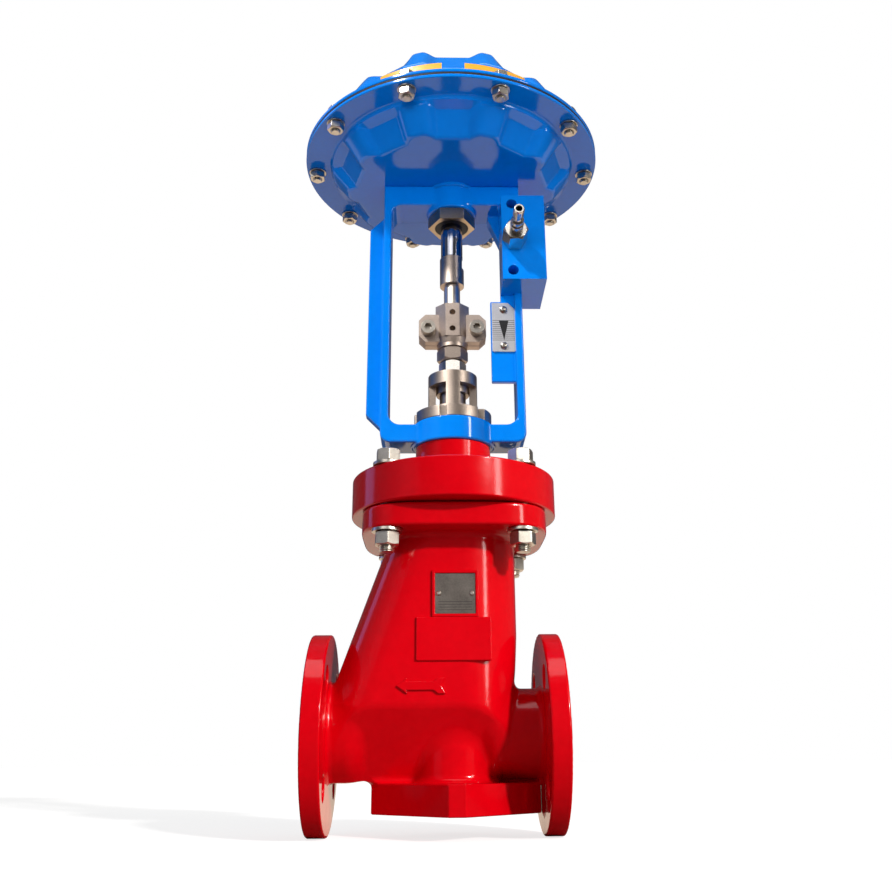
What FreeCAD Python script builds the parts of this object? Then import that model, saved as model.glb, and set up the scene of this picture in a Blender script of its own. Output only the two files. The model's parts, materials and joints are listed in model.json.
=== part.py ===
import FreeCAD, Part
import math
import os

from FreeCAD import Placement, Rotation, Vector
import Sketcher

# A DN 40 flanged globe control valve with a spring diaphragm actuator, rest pose: shut.
# X runs along the pipe (flow goes towards -X), Z is the stem axis, -Y is the front.
# The floor under the flange rims is z = 0, and the stem axis is x = y = 0.

doc = FreeCAD.newDocument("ControlValve")
sheet = doc.addObject("Spreadsheet::Sheet", "Sizes")

DRIVING_SIZES = [
    # pipe flanges, to the DN 40 PN 16 pattern
    ("FlangeDiameter", 150, "outside of each pipe flange"),
    ("FlangeRim", 15, "flange thickness without its raised face"),
    ("RaisedFaceDiameter", 88, "sealing face"),
    ("RaisedFaceHeight", 3, "sealing face"),
    ("FlangeBoltCircle", 110, "four pipe bolts"),
    ("FlangeHole", 18, "hole for a pipe bolt, inlet"),
    ("OutletFlangeHole", 18.5, "hole for a pipe bolt, outlet"),
    ("PortDiameter", 40, "bore of the pipe ports"),
    ("PassageDiameter", 37, "cast passage behind each port"),
    ("InletPortDepth", 30, "straight bore of the inlet port"),
    ("OutletPortDepth", 25, "straight bore of the outlet port"),
    ("InletReach", 85, "stem axis to the inlet sealing face"),
    ("OutletReach", 115, "stem axis to the outlet sealing face"),
    # body casting
    ("NeckDiameter", 66, "round neck behind each pipe flange"),
    ("TrunkDepth", 92, "front face to back face"),
    ("TrunkRight", 51.6, "stem axis to the right side"),
    ("TrunkShoulder", 52.6, "stem axis to the left side under the top flange"),
    ("TrunkFoot", 85.6, "stem axis to the left foot of the sloping side"),
    ("FootLevel", 62, "left foot above the pipe axis"),
    ("CreaseLevel", 18.3, "where the front face turns under"),
    ("BellyDrop", 34.7, "underside below the pipe axis"),
    ("BellyWidth", 19, "flat of the underside"),
    ("BodyHeight", 150, "pipe axis to the underside of the top flange"),
    ("TopFlangeThickness", 18.4, "square top flange"),
    ("TopFlangeWidth", 142, "square top flange"),
    ("TopFlangeCorner", 18, "corner radius"),
    ("SeatBossDiameter", 64, "round boss under the seat"),
    ("BasePlateWidth", 99.4, "turned square base, side to side"),
    ("BasePlateThickness", 22, "turned square base"),
    ("BasePlateDrop", 58.5, "underside of the base below the pipe axis"),
    ("BaseCornerReach", 64, "stem axis to the flat on each base corner"),
    ("PanelHeight", 2, "how far the cast panels stand out"),
    ("ArrowHeight", 1.4, "how far the cast arrow stands out"),
    ("NameplateWidth", 31, "square plate"),
    ("NameplateLevel", 101, "centre above the pipe axis"),
    # seat and plug
    ("SeatLevel", 34, "floor of the upper chamber above the pipe axis"),
    ("SeatBore", 34, "flow bore of the seat ring"),
    ("SeatThread", 50, "outside of the threaded part of the seat ring"),
    ("SeatThreadLength", 14, "screwed into the bridge"),
    ("SeatFlange", 60, "collar of the seat ring"),
    ("SeatCollar", 4, "thickness of that collar"),
    ("ChamberDiameter", 72, "upper chamber"),
    ("LowerChamber", 48, "chamber under the seat"),
    ("PlugHead", 40, "plug above its seat"),
    ("PlugHeadHeight", 11, "plug above its seat"),
    ("PlugHub", 24, "plug around its stem"),
    ("PlugHubHeight", 14, "plug around its stem"),
    ("PlugStem", 14, "plug stem"),
    ("SeatGap", 0.2, "plug to seat, along the stem, when shut"),
    # bonnet
    ("BonnetDiameter", 170, "bonnet disc"),
    ("BonnetThickness", 32, "bonnet disc"),
    ("BonnetGap", 1, "open gap between body flange and disc"),
    ("BonnetPilot", 84, "pilot that centres the bonnet in the body"),
    ("BonnetPilotLength", 8, "depth of the pilot in the body"),
    ("GasketThickness", 2, "spiral gasket under the pilot"),
    ("GasketWidth", 5, "spiral gasket under the pilot"),
    ("GuideHousing", 44, "neck that holds the lower guide"),
    ("GuideHousingLength", 40, "neck that holds the lower guide"),
    ("GuideBushDiameter", 28, "lower guide bush"),
    ("GuideBushLength", 28, "lower guide bush"),
    ("BonnetNeck", 64, "round neck under the yoke"),
    ("BonnetNeckHeight", 30.7, "disc to the yoke"),
    ("BonnetThread", 48, "threaded end that carries the yoke"),
    ("StudEdge", 10, "bonnet stud to the edge of the disc"),
    ("StudDiameter", 12, "bonnet studs"),
    ("StudHole", 13.5, "hole for a bonnet stud"),
    ("StudNutFlats", 18, "nut on a bonnet stud"),
    ("StudNutHeight", 10.8, "nut on a bonnet stud"),
    ("StudWasher", 24, "washer under a stud nut"),
    ("StudWasherThickness", 2.5, "washer under a stud nut"),
    ("StudEnd", 5.2, "stud past its lower nut"),
    ("StudTopEnd", 0.6, "stud past its upper nut"),
    # packing
    ("PackingBore", 30, "packing chamber"),
    ("PackingFloor", 4, "chamber floor above the top of the disc"),
    ("PackingSpringHeight", 14, "four coned discs that load the packing, fitted"),
    ("PackingDisc", 1.4, "thickness of one of those discs"),
    ("PackingRingHeight", 6.6, "one packing ring"),
    ("FollowerHead", 23, "upper part of the gland follower"),
    ("LanternDiameter", 43, "gland housing"),
    ("LanternHead", 11, "top ring of the gland housing"),
    ("LanternHeight", 36.2, "gland housing"),
    ("LanternFoot", 5, "bottom ring of the gland housing"),
    ("LanternLeg", 12.3, "width of each of its four legs"),
    ("LanternWall", 5.5, "thickness of a leg"),
    ("GlandScrewFlats", 21, "hexagon of the gland screw"),
    ("GlandScrewHead", 14.2, "hexagon of the gland screw"),
    ("GlandThread", 20, "thread of the gland screw"),
    ("GlandCollar", 29, "lock ring on the gland screw"),
    ("GlandCollarHeight", 6, "lock ring on the gland screw"),
    # yoke
    ("YokeHeight", 254, "hub underside to the actuator"),
    ("YokeWidth", 125, "across both pillars"),
    ("YokeDepth", 34, "front to back"),
    ("PillarWidth", 7, "pillar seen from the front"),
    ("YokeFoot", 16, "lower crossbar"),
    ("YokeHead", 20, "upper crossbar"),
    ("HubDiameter", 69, "hub on the bonnet"),
    ("HubHeight", 20.4, "hub on the bonnet"),
    ("HubDrop", 2, "hub below the lower crossbar"),
    ("WindowCorner", 10, "corner radius of the window"),
    ("BossDiameter", 45, "boss that holds the stem bushing"),
    ("BossDrop", 4.5, "boss below the upper crossbar"),
    ("SpigotDiameter", 48, "spigot inside the actuator"),
    ("RingNutDiameter", 67.2, "slotted nut that holds the yoke"),
    ("RingNutHeight", 10, "slotted nut that holds the yoke"),
    ("SideFinWidth", 13, "rib outside the left pillar"),
    ("SideFinDepth", 12, "rib outside the left pillar"),
    ("ScalePadThickness", 6, "lug behind the scale"),
    # stem train
    ("LockNutFlats", 24, "nut under the coupling"),
    ("LockNutHeight", 15.8, "nut under the coupling"),
    ("CouplingFlats", 30, "octagon of the coupling"),
    ("CouplingHeight", 37, "octagon of the coupling"),
    ("CouplingSplit", 0.8, "gap between its two halves"),
    ("EarSpan", 60, "across both ears"),
    ("EarHeight", 26.5, "ears of the coupling"),
    ("EarRise", 1.6, "ears above the coupling's lower end"),
    ("EarDepth", 18, "both ears, front to back"),
    ("CouplingScrew", 8, "clamp screws"),
    ("CouplingScrewHead", 13, "clamp screws"),
    ("RodDiameter", 14.7, "thin end of the actuator stem"),
    ("StemDiameter", 20, "polished actuator stem"),
    ("SleeveDiameter", 22, "sleeve on the thin end"),
    ("SleeveHeight", 27.7, "sleeve on the thin end"),
    ("SleeveRise", 23.3, "sleeve above the coupling"),
    ("BushingFlats", 38, "hexagon of the stem bushing"),
    ("BushingHead", 11.5, "hexagon of the stem bushing"),
    ("BushingThread", 32, "threaded part of the stem bushing"),
    ("BushingLength", 18, "threaded part of the stem bushing"),
    ("BushLiner", 24, "dry liner inside the bushing"),
    # diaphragm actuator
    ("CasingDiameter", 275, "rim of the casing"),
    ("SheetThickness", 3.2, "casing sheet"),
    ("LowerCasingDepth", 25.7, "lower rim to the bottom plate"),
    ("UpperCasingDepth", 55.3, "upper rim to the top plate"),
    ("RimWidth", 24.5, "rim outside the plain band"),
    ("LowerBand", 6, "height of that band on the lower half"),
    ("UpperBand", 28, "height of that band on the upper half"),
    ("LobeInset", 16, "band to the plate's edge on a lobe"),
    ("FacetInset", 27, "band to the top plate's edge on a flat"),
    ("LowerFacetInset", 24.5, "band to the bottom plate's edge on a flat"),
    ("FacetRimInset", 9, "band to the foot of a flat"),
    ("FacetWidth", 29, "width of one flat"),
    ("CasingBoltEdge", 10, "casing bolt to the edge of the rim"),
    ("CasingBolt", 8, "casing bolts"),
    ("CasingBoltHole", 9, "hole for a casing bolt"),
    ("CasingBoltFlats", 13, "head and nut"),
    ("CasingBoltHead", 5.3, "head"),
    ("CasingNutHeight", 6.8, "nut"),
    ("CasingWasher", 16, "washer"),
    ("CasingWasherThickness", 1.6, "washer"),
    ("CasingBoltEnd", 2, "bolt past its nut"),
    ("DiaphragmThickness", 2.1, "rubber diaphragm"),
    ("DiaphragmRest", 0.8, "diaphragm above the bottom plate when shut"),
    ("DiaphragmPlateGap", 12.5, "plate on the diaphragm to a flat of the bottom plate"),
    ("DiaphragmPlateThickness", 4, "plate on the diaphragm"),
    ("PlateWasher", 34, "washer on that plate"),
    ("PlateWasherThickness", 2.5, "washer on that plate"),
    ("PlateNutFlats", 22, "nut on the actuator stem"),
    ("PlateNutHeight", 11, "nut on the actuator stem"),
    ("StemThread", 14, "upper thread of the actuator stem"),
    ("SpringDiameter", 34, "mean diameter of an actuator spring"),
    ("SpringWire", 4, "actuator spring wire"),
    ("SpringInset", 30, "spring to a flat of the top plate"),
    ("YokeScrewCircle", 80, "screws from the casing into the yoke"),
    ("YokeScrewRow", 18, "front row to back row of those screws"),
    ("YokeScrew", 6, "screws from the casing into the yoke"),
    ("PlugReach", 52, "stem axis to the plug in the bottom plate"),
    ("PlugDiameter", 9, "plug in the bottom plate"),
    ("VentReach", 62, "stem axis to the vent plug"),
    ("VentDiameter", 20, "vent plug"),
    ("VentHeight", 11, "vent plug"),
    ("LabelThickness", 0.4, "plain amber labels"),
    # air block on the right pillar
    ("BlockWidth", 38.5, "left to right"),
    ("BlockHeight", 84, "air block"),
    ("BlockFront", 45, "stem axis to the block's front face"),
    ("BlockBack", 14, "stem axis to the block's back face"),
    ("BlockLeft", 43.5, "stem axis to the block's left side"),
    ("BlockDrop", 28, "top of the block below the actuator"),
    ("BlockHoleSpacing", 66.6, "the two holes in the front face"),
    ("BlockHole", 9.4, "the two holes in the front face"),
    ("BlockScrew", 5, "screws sunk in those holes"),
    ("NippleHex", 19, "hexagon of the quick connector"),
    ("NippleHexLength", 20, "hexagon of the quick connector"),
    ("NippleLength", 32, "plug of the quick connector"),
    ("NippleTip", 9.5, "tip of the quick connector"),
    # travel scale
    ("ScaleWidth", 20.4, "travel scale"),
    ("ScaleHeight", 47.5, "travel scale"),
    ("ScaleThickness", 1.5, "travel scale"),
    ("ScaleScrew", 4, "scale screws"),
    # clearances
    ("RunningGap", 0.05, "radial gap of a part that slides"),
    ("FittedGap", 0.05, "radial gap of parts that are pushed together"),
]


class Size:
    """A length that knows its value and how it follows the sheet."""

    def __init__(self, text, value):
        self.text = text
        self.value = value

    def __add__(self, other):
        other = size(other)
        return Size(f"({self.text} + {other.text})", self.value + other.value)

    def __sub__(self, other):
        other = size(other)
        return Size(f"({self.text} - {other.text})", self.value - other.value)

    def __mul__(self, factor):
        return Size(f"({self.text} * {factor:.10g})", self.value * factor)

    def __truediv__(self, factor):
        return Size(f"({self.text} / {factor:.10g})", self.value / factor)

    def __neg__(self):
        return Size(f"(0 - {self.text})", -self.value)

    __radd__ = __add__
    __rmul__ = __mul__

    def __rsub__(self, other):
        return size(other) - self


def size(value):
    return value if isinstance(value, Size) else Size(f"{value:.10g}", float(value))


class SizeBook:
    """Every alias of the sheet as a Size."""


S = SizeBook()
for row, (alias, number, note) in enumerate(DRIVING_SIZES, start=1):
    sheet.set(f"A{row}", alias)
    sheet.set(f"B{row}", str(number))
    sheet.set(f"C{row}", note)
    sheet.setAlias(f"B{row}", alias)
    setattr(S, alias, Size(f"Sizes.{alias}", float(number)))
S.StudCircle = S.BonnetDiameter - S.StudEdge * 2
S.CasingBoltCircle = S.CasingDiameter - S.CasingBoltEdge * 2
S.BandDiameter = S.CasingDiameter - S.RimWidth * 2
S.LobeDiameter = S.BandDiameter - S.LobeInset * 2
S.FacetDiameter = S.BandDiameter - S.FacetInset * 2
S.LowerFacetDiameter = S.BandDiameter - S.LowerFacetInset * 2
S.FacetRim = S.BandDiameter - S.FacetRimInset * 2
S.DiaphragmPlate = S.LowerFacetDiameter - S.DiaphragmPlateGap * 2
S.SpringCircle = S.FacetDiameter - S.SpringInset * 2
doc.recompute()

X_AXIS = Vector(1, 0, 0)
Y_AXIS = Vector(0, 1, 0)
Z_AXIS = Vector(0, 0, 1)
ALONG = {"x": Rotation(Y_AXIS, 90), "y": Rotation(X_AXIS, -90), "z": Rotation()}
pieces = {}


def bind(thing, **sizes):
    for prop, value in sizes.items():
        value = size(value)
        setattr(thing, prop, value.value)
        thing.setExpression(prop, value.text)


def put(thing, at=(0, 0, 0), rotation=None):
    x, y, z = (size(value) for value in at)
    thing.Placement = Placement(Vector(x.value, y.value, z.value), rotation or Rotation())
    for axis, value in zip("xyz", (x, y, z)):
        thing.setExpression(f"Placement.Base.{axis}", value.text)
    return thing


def cylinder(diameter, height, at=(0, 0, 0), along="z"):
    thing = doc.addObject("Part::Cylinder", "Round")
    bind(thing, Radius=size(diameter) / 2, Height=height)
    return put(thing, at, ALONG[along])


def cone(lower, upper, height, at=(0, 0, 0), along="z"):
    thing = doc.addObject("Part::Cone", "Taper")
    bind(thing, Radius1=size(lower) / 2, Radius2=size(upper) / 2, Height=height)
    return put(thing, at, ALONG[along])


def ball(diameter, at=(0, 0, 0)):
    thing = doc.addObject("Part::Sphere", "Ball")
    bind(thing, Radius=size(diameter) / 2)
    return put(thing, at)


def torus(ring_diameter, cord_diameter, at=(0, 0, 0)):
    thing = doc.addObject("Part::Torus", "Hoop")
    bind(thing, Radius1=size(ring_diameter) / 2, Radius2=size(cord_diameter) / 2)
    return put(thing, at)


def box(width, depth, height, corner=(0, 0, 0)):
    thing = doc.addObject("Part::Box", "Block")
    bind(thing, Length=width, Width=depth, Height=height)
    return put(thing, corner)


def middle_box(width, depth, height, at=(0, 0, 0)):
    """A box centred on at in x and y, standing on its z."""
    x, y, z = (size(value) for value in at)
    return box(width, depth, height, (x - size(width) / 2, y - size(depth) / 2, z))


def prism(flats, height, at=(0, 0, 0), sides=6, along="z", turn=0):
    """A regular prism by its width across flats; a flat side faces the front."""
    thing = doc.addObject("Part::Prism", "Flats")
    thing.Polygon = sides
    bind(thing, Circumradius=size(flats) / (2 * math.cos(math.pi / sides)), Height=height)
    facing = 0 if sides == 6 else 180 / sides
    return put(thing, at, ALONG[along] * Rotation(Z_AXIS, facing + turn))


def joined(*things):
    thing = doc.addObject("Part::MultiFuse", "Joined")
    thing.Shapes = list(things)
    thing.Refine = True
    return thing


def less(base, *tools):
    thing = doc.addObject("Part::Cut", "Less")
    thing.Base = base
    thing.Tool = tools[0] if len(tools) == 1 else joined(*tools)
    return thing


def shared(*things):
    thing = doc.addObject("Part::MultiCommon", "Shared")
    thing.Shapes = list(things)
    return thing


def group(things):
    thing = doc.addObject("Part::Compound", "Group")
    thing.Links = list(things)
    return thing


def tube(outer, inner, height, at=(0, 0, 0), along="z"):
    return less(cylinder(outer, height, at, along), cylinder(inner, height, at, along))


def eased(thing, radius, pick):
    """Round the edges that pick accepts by their middle point and direction."""
    doc.recompute()
    chosen = []
    for number, edge in enumerate(thing.Shape.Edges, start=1):
        middle = edge.valueAt((edge.FirstParameter + edge.LastParameter) / 2)
        way = edge.tangentAt((edge.FirstParameter + edge.LastParameter) / 2)
        if pick(middle, way, edge):
            chosen.append((number, size(radius).value, size(radius).value))
    rounded = doc.addObject("Part::Fillet", "Eased")
    rounded.Base = thing
    rounded.Edges = chosen
    return rounded


def piece(label, thing):
    thing.Label = label
    pieces[label] = thing
    return thing


def origin_part(body, role):
    return next(part for part in body.Origin.OriginFeatures if part.Role == role)


def outline(body, plane, points):
    """A closed outline of straight edges whose corners follow the sheet."""
    sketch = body.newObject("Sketcher::SketchObject", "Outline")
    sketch.AttachmentSupport = (origin_part(body, plane), [""])
    sketch.MapMode = "FlatFace"
    corners = [(size(x), size(y)) for x, y in points]
    count = len(corners)
    for here in range(count):
        start = Vector(corners[here][0].value, corners[here][1].value, 0)
        ahead = corners[(here + 1) % count]
        end = Vector(ahead[0].value, ahead[1].value, 0)
        sketch.addGeometry(Part.LineSegment(start, end), False)
    for here in range(count):
        sketch.addConstraint(Sketcher.Constraint("Coincident", here, 2, (here + 1) % count, 1))
    for here, (x, y) in enumerate(corners):
        for kind, axis, value in (("DistanceX", -2, x), ("DistanceY", -1, y)):
            if value.text == "0":
                sketch.addConstraint(Sketcher.Constraint("PointOnObject", here, 1, axis))
                continue
            rule = Sketcher.Constraint(kind, -1, 1, here, 1, value.value)
            number = sketch.addConstraint(rule)
            sketch.setExpression(f"Constraints[{number}]", value.text)
    return sketch


def new_body():
    return doc.addObject("PartDesign::Body", "Body")


def turned(points, at=(0, 0, 0)):
    """A solid of revolution about the stem axis, from (radius, height) corners."""
    body = new_body()
    sketch = outline(body, "XZ_Plane", points)
    feature = body.newObject("PartDesign::Revolution", "Turned")
    feature.Profile = sketch
    feature.ReferenceAxis = (sketch, ["V_Axis"])
    feature.Angle = 360
    return put(body, at)


def plate(points, thickness, plane="XY_Plane", at=(0, 0, 0), centred=False):
    """A flat shape from its outline: XZ plates grow towards the front."""
    body = new_body()
    sketch = outline(body, plane, points)
    feature = body.newObject("PartDesign::Pad", "Plate")
    feature.Profile = sketch
    bind(feature, Length=thickness)
    if centred:
        feature.SideType = "Symmetric"
    return put(body, at)


def spring(mean, wire, turns, height, at):
    """A coil spring between two levels, its wire just inside both."""
    rise = size(height) - size(wire)
    helix = doc.addObject("Part::Helix", "Coil")
    bind(helix, Pitch=rise / turns, Height=rise, Radius=size(mean) / 2)
    section = doc.addObject("Part::Circle", "Wire")
    bind(section, Radius=size(wire) / 2)
    put(section, (size(mean) / 2, 0, 0), Rotation(X_AXIS, 90))
    coil = doc.addObject("Part::Sweep", "Spring")
    coil.Sections = [section]
    coil.Spine = (helix, ["Edge1"])
    coil.Solid = True
    coil.Frenet = True
    x, y, z = at
    return put(coil, (x, y, size(z) + size(wire) / 2))


def ring_places(circle, count, first=0):
    """Places (x, y) of count items on a circle, first angle in degrees."""
    for step in range(count):
        angle = math.radians(first + 360 * step / count)
        yield size(circle) * (math.cos(angle) / 2), size(circle) * (math.sin(angle) / 2)


# Levels above the floor
PIPE = S.FlangeDiameter / 2
BODY_TOP = PIPE + S.BodyHeight + S.TopFlangeThickness
DISC = BODY_TOP + S.BonnetGap
DISC_TOP = DISC + S.BonnetThickness
HUB = DISC_TOP + S.BonnetNeckHeight
HUB_TOP = HUB + S.HubHeight
THREAD_TOP = HUB_TOP + S.RingNutHeight
LANTERN_TOP = THREAD_TOP + S.LanternHeight
GLAND_TOP = LANTERN_TOP + S.GlandScrewHead
COUPLING = GLAND_TOP + S.LockNutHeight
COUPLING_TOP = COUPLING + S.CouplingHeight
YOKE_TOP = HUB + S.YokeHeight
SEAT_TOP = PIPE + S.SeatLevel + S.SeatCollar
CROSSBAR = YOKE_TOP - S.YokeHead
BOSS = CROSSBAR - S.BossDrop
FLANGE_LOW = YOKE_TOP + S.LowerCasingDepth
RUBBER = FLANGE_LOW + S.SheetThickness
RUBBER_TOP = RUBBER + S.DiaphragmThickness
FLANGE_HIGH = RUBBER_TOP + S.SheetThickness
CASING_TOP = FLANGE_HIGH + S.UpperCasingDepth
STUD_LOW = PIPE + S.BodyHeight - S.StudWasherThickness - S.StudNutHeight - S.StudEnd
STUD_HIGH = DISC_TOP + S.StudWasherThickness + S.StudNutHeight + S.StudTopEnd


# Body casting
def trunk():
    """The casting between the necks: its front, side and top outlines crossed."""
    left, right, half = -S.OutletReach, S.TrunkRight, S.TrunkDepth / 2
    top = PIPE + S.BodyHeight + S.TopFlangeThickness / 2
    belly = PIPE - S.BellyDrop
    front_view = plate(
        [
            (-S.TrunkFoot, belly),
            (-S.TrunkFoot, PIPE + S.FootLevel),
            (-S.TrunkShoulder, PIPE + S.BodyHeight),
            (-S.TrunkShoulder, top),
            (right, top),
            (right, PIPE + S.FootLevel * 1.2),
            (right * 0.94, PIPE + S.FootLevel * 0.75),
            (right * 0.87, PIPE + S.FootLevel * 0.42),
            (right * 0.8, PIPE + S.FootLevel * 0.05),
            (right * 0.75, PIPE - S.BellyDrop * 0.42),
            (right * 0.6, PIPE - S.BellyDrop * 0.8),
            (right * 0.4, belly),
        ],
        S.TrunkDepth * 1.2,
        "XZ_Plane",
        centred=True,
    )
    side_view = plate(
        [
            (-S.BellyWidth / 2, belly),
            (S.BellyWidth / 2, belly),
            (half, PIPE + S.CreaseLevel),
            (half, top),
            (-half, top),
            (-half, PIPE + S.CreaseLevel),
        ],
        S.OutletReach * 2.2,
        "YZ_Plane",
        centred=True,
    )
    middle = right - half
    top_view = joined(
        cylinder(S.TrunkDepth, top, (middle, 0, 0)),
        plate(
            [
                (-S.TrunkFoot, -half * 0.6),
                (-S.TrunkFoot + half * 0.45, -half),
                (middle, -half),
                (middle, half),
                (-S.TrunkFoot + half * 0.45, half),
                (-S.TrunkFoot, half * 0.6),
            ],
            top,
        ),
    )
    raw = shared(front_view, side_view, top_view)

    def sloping(middle_point, way, edge):
        on_left = middle_point.x < -S.TrunkShoulder.value
        slanted = abs(way.z) > 0.8 and abs(way.x) > 0.2
        return on_left and slanted and edge.Length > S.BodyHeight.value * 0.3

    return eased(raw, half * 0.6, sloping)


def flanged_end(side, reach):
    """Neck, flange and raised face of one port; side is -1 left or +1 right."""
    face = reach * side
    rim = (reach - S.RaisedFaceHeight) * side
    inner = (reach - S.RaisedFaceHeight - S.FlangeRim) * side
    begin = S.SeatBossDiameter * (0.4 * side)
    if side > 0:
        neck = cylinder(S.NeckDiameter, inner - begin, (begin, 0, PIPE), "x")
        flange = cylinder(S.FlangeDiameter, S.FlangeRim, (inner, 0, PIPE), "x")
        raised = cylinder(S.RaisedFaceDiameter, S.RaisedFaceHeight, (rim, 0, PIPE), "x")
        flare = cone(S.NeckDiameter, S.NeckDiameter + 12, 6, (inner - 6, 0, PIPE), "x")
    else:
        neck = cylinder(S.NeckDiameter, begin - inner, (inner, 0, PIPE), "x")
        flange = cylinder(S.FlangeDiameter, S.FlangeRim, (rim, 0, PIPE), "x")
        raised = cylinder(S.RaisedFaceDiameter, S.RaisedFaceHeight, (face, 0, PIPE), "x")
        flare = cone(S.NeckDiameter + 12, S.NeckDiameter, 6, (inner, 0, PIPE), "x")
    return [neck, flange, raised, flare]


def bolt_holes(side, reach):
    start = -reach - 1 if side < 0 else reach - S.RaisedFaceHeight - S.FlangeRim - 1
    length = S.FlangeRim + S.RaisedFaceHeight + 2
    hole = S.FlangeHole if side > 0 else S.OutletFlangeHole
    for across, height in ring_places(S.FlangeBoltCircle, 4, 45):
        yield cylinder(hole, length, (start, across, PIPE + height), "x")


def turned_square(width, corner_reach, thickness, z):
    """A square with one corner to the front and that corner cut flat."""
    lid = doc.addObject("Part::Prism", "Square")
    lid.Polygon = 4
    bind(lid, Circumradius=size(width) * math.sqrt(0.5), Height=thickness)
    put(lid, (0, 0, z))
    return shared(lid, middle_box(corner_reach * 2, corner_reach * 2, thickness, (0, 0, z)))


def front_panels():
    """Frame of the nameplate, plain panel below it and the flow arrow."""
    front = -S.TrunkDepth / 2
    frame_width = S.NameplateWidth + 5
    frame_low = PIPE + S.NameplateLevel - frame_width / 2
    frame = box(frame_width, S.PanelHeight * 3, frame_width,
                (-frame_width / 2, front - S.PanelHeight, frame_low))
    panel_width = S.NameplateWidth * 1.86
    panel_height = S.NameplateWidth * 1.05
    panel = box(panel_width, S.PanelHeight * 6, panel_height,
                (-panel_width / 2 - 1.3, front - S.PanelHeight, frame_low - panel_height))
    length = S.NameplateWidth * 1.2
    level = PIPE + S.CreaseLevel + 14
    tip = -length * 1.2
    arrow = plate(
        [
            (tip, level),
            (tip + length * 0.25, level - 5),
            (tip + length * 0.2, level - 2.4),
            (tip + length * 0.78, level - 2.4),
            (tip + length * 0.84, level - 5),
            (tip + length, level - 5),
            (tip + length * 0.9, level),
            (tip + length, level + 5),
            (tip + length * 0.84, level + 5),
            (tip + length * 0.78, level + 2.4),
            (tip + length * 0.2, level + 2.4),
            (tip + length * 0.25, level + 5),
        ],
        S.ArrowHeight * 3,
        "XZ_Plane",
        (0, front + S.ArrowHeight * 2, 0),
    )
    return [frame, panel, arrow]


def flow_passages():
    """Inlet under the seat, seat bore, upper chamber and the sloping outlet."""
    inlet = cylinder(S.PortDiameter, S.InletPortDepth + 1,
                     (S.InletReach - S.InletPortDepth, 0, PIPE), "x")
    inlet_way = cylinder(S.PassageDiameter, S.InletReach, (0, 0, PIPE), "x")
    lower_floor = PIPE - S.BellyDrop * 0.8
    lower = cylinder(S.LowerChamber, PIPE + S.SeatLevel - S.SeatThreadLength - lower_floor,
                     (0, 0, lower_floor))
    seat_hole = cylinder(S.SeatThread, S.SeatThreadLength + 1,
                         (0, 0, PIPE + S.SeatLevel - S.SeatThreadLength))
    chamber_floor = PIPE + S.SeatLevel
    chamber = cylinder(S.ChamberDiameter, BODY_TOP - chamber_floor + 1, (0, 0, chamber_floor))
    recess = cylinder(S.BonnetPilot + S.FittedGap * 2, S.BonnetPilotLength + S.GasketThickness + 1,
                      (0, 0, BODY_TOP - S.BonnetPilotLength - S.GasketThickness))
    elbow_x = S.OutletReach * 0.68
    outlet = cylinder(S.PortDiameter, S.OutletPortDepth + 1, (-S.OutletReach - 1, 0, PIPE), "x")
    straight = cylinder(S.PassageDiameter, S.OutletReach - elbow_x + 1,
                        (-S.OutletReach - 1, 0, PIPE), "x")
    elbow = ball(S.PassageDiameter, (-elbow_x, 0, PIPE))
    rise, run = S.BodyHeight.value * 0.55, elbow_x.value * 0.72
    slope = cylinder(S.PassageDiameter, math.hypot(rise, run))
    tilt = Rotation(Y_AXIS, math.degrees(math.atan2(run, rise)))
    put(slope, (-elbow_x, 0, PIPE), tilt)
    return [inlet, inlet_way, lower, seat_hole, chamber, recess, outlet, straight, elbow, slope]


def valve_body():
    base_z = PIPE - S.BasePlateDrop
    boss_height = S.BasePlateDrop + S.CreaseLevel
    top_flange = middle_box(S.TopFlangeWidth, S.TopFlangeWidth, S.TopFlangeThickness,
                            (0, 0, PIPE + S.BodyHeight))
    top_flange = eased(top_flange, S.TopFlangeCorner, lambda middle, way, edge: abs(way.z) > 0.9)
    outside = joined(
        trunk(),
        cylinder(S.SeatBossDiameter, boss_height, (0, 0, base_z)),
        turned_square(S.BasePlateWidth, S.BaseCornerReach, S.BasePlateThickness, base_z),
        top_flange,
        *flanged_end(-1, S.OutletReach),
        *flanged_end(1, S.InletReach),
        *front_panels(),
    )
    plate_gap = S.NameplateWidth + S.FittedGap * 2
    plate_seat = box(plate_gap, S.PanelHeight, plate_gap,
                     (-plate_gap / 2, -S.TrunkDepth / 2 - S.PanelHeight,
                      PIPE + S.NameplateLevel - plate_gap / 2))
    stud_length = S.TopFlangeThickness + 2
    studs = [cylinder(S.StudHole, stud_length, (x, y, BODY_TOP - stud_length + 1))
             for x, y in ring_places(S.StudCircle, 4, 45)]
    rivets = [cylinder(NAMEPLATE_RIVET, NAMEPLATE_GRIP, (x, -S.TrunkDepth / 2, z), "y")
              for x, z in rivet_places()]
    spot = S.StudNutHeight + S.StudWasherThickness + S.StudEnd
    faced = [cylinder(S.StudWasher + 1, spot, (x, y, PIPE + S.BodyHeight - spot))
             for x, y in ring_places(S.StudCircle, 4, 45)]
    holes = [*bolt_holes(-1, S.OutletReach), *bolt_holes(1, S.InletReach), *studs, *rivets, *faced]
    piece("valve_body", less(outside, *flow_passages(), plate_seat, *holes))


NAMEPLATE_RIVET = 2.4
NAMEPLATE_GRIP = 6


def rivet_places():
    """The two rivets at mid height of the nameplate, as (x, z)."""
    for side in (-1, 1):
        yield S.NameplateWidth * (side * 0.41), PIPE + S.NameplateLevel


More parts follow.
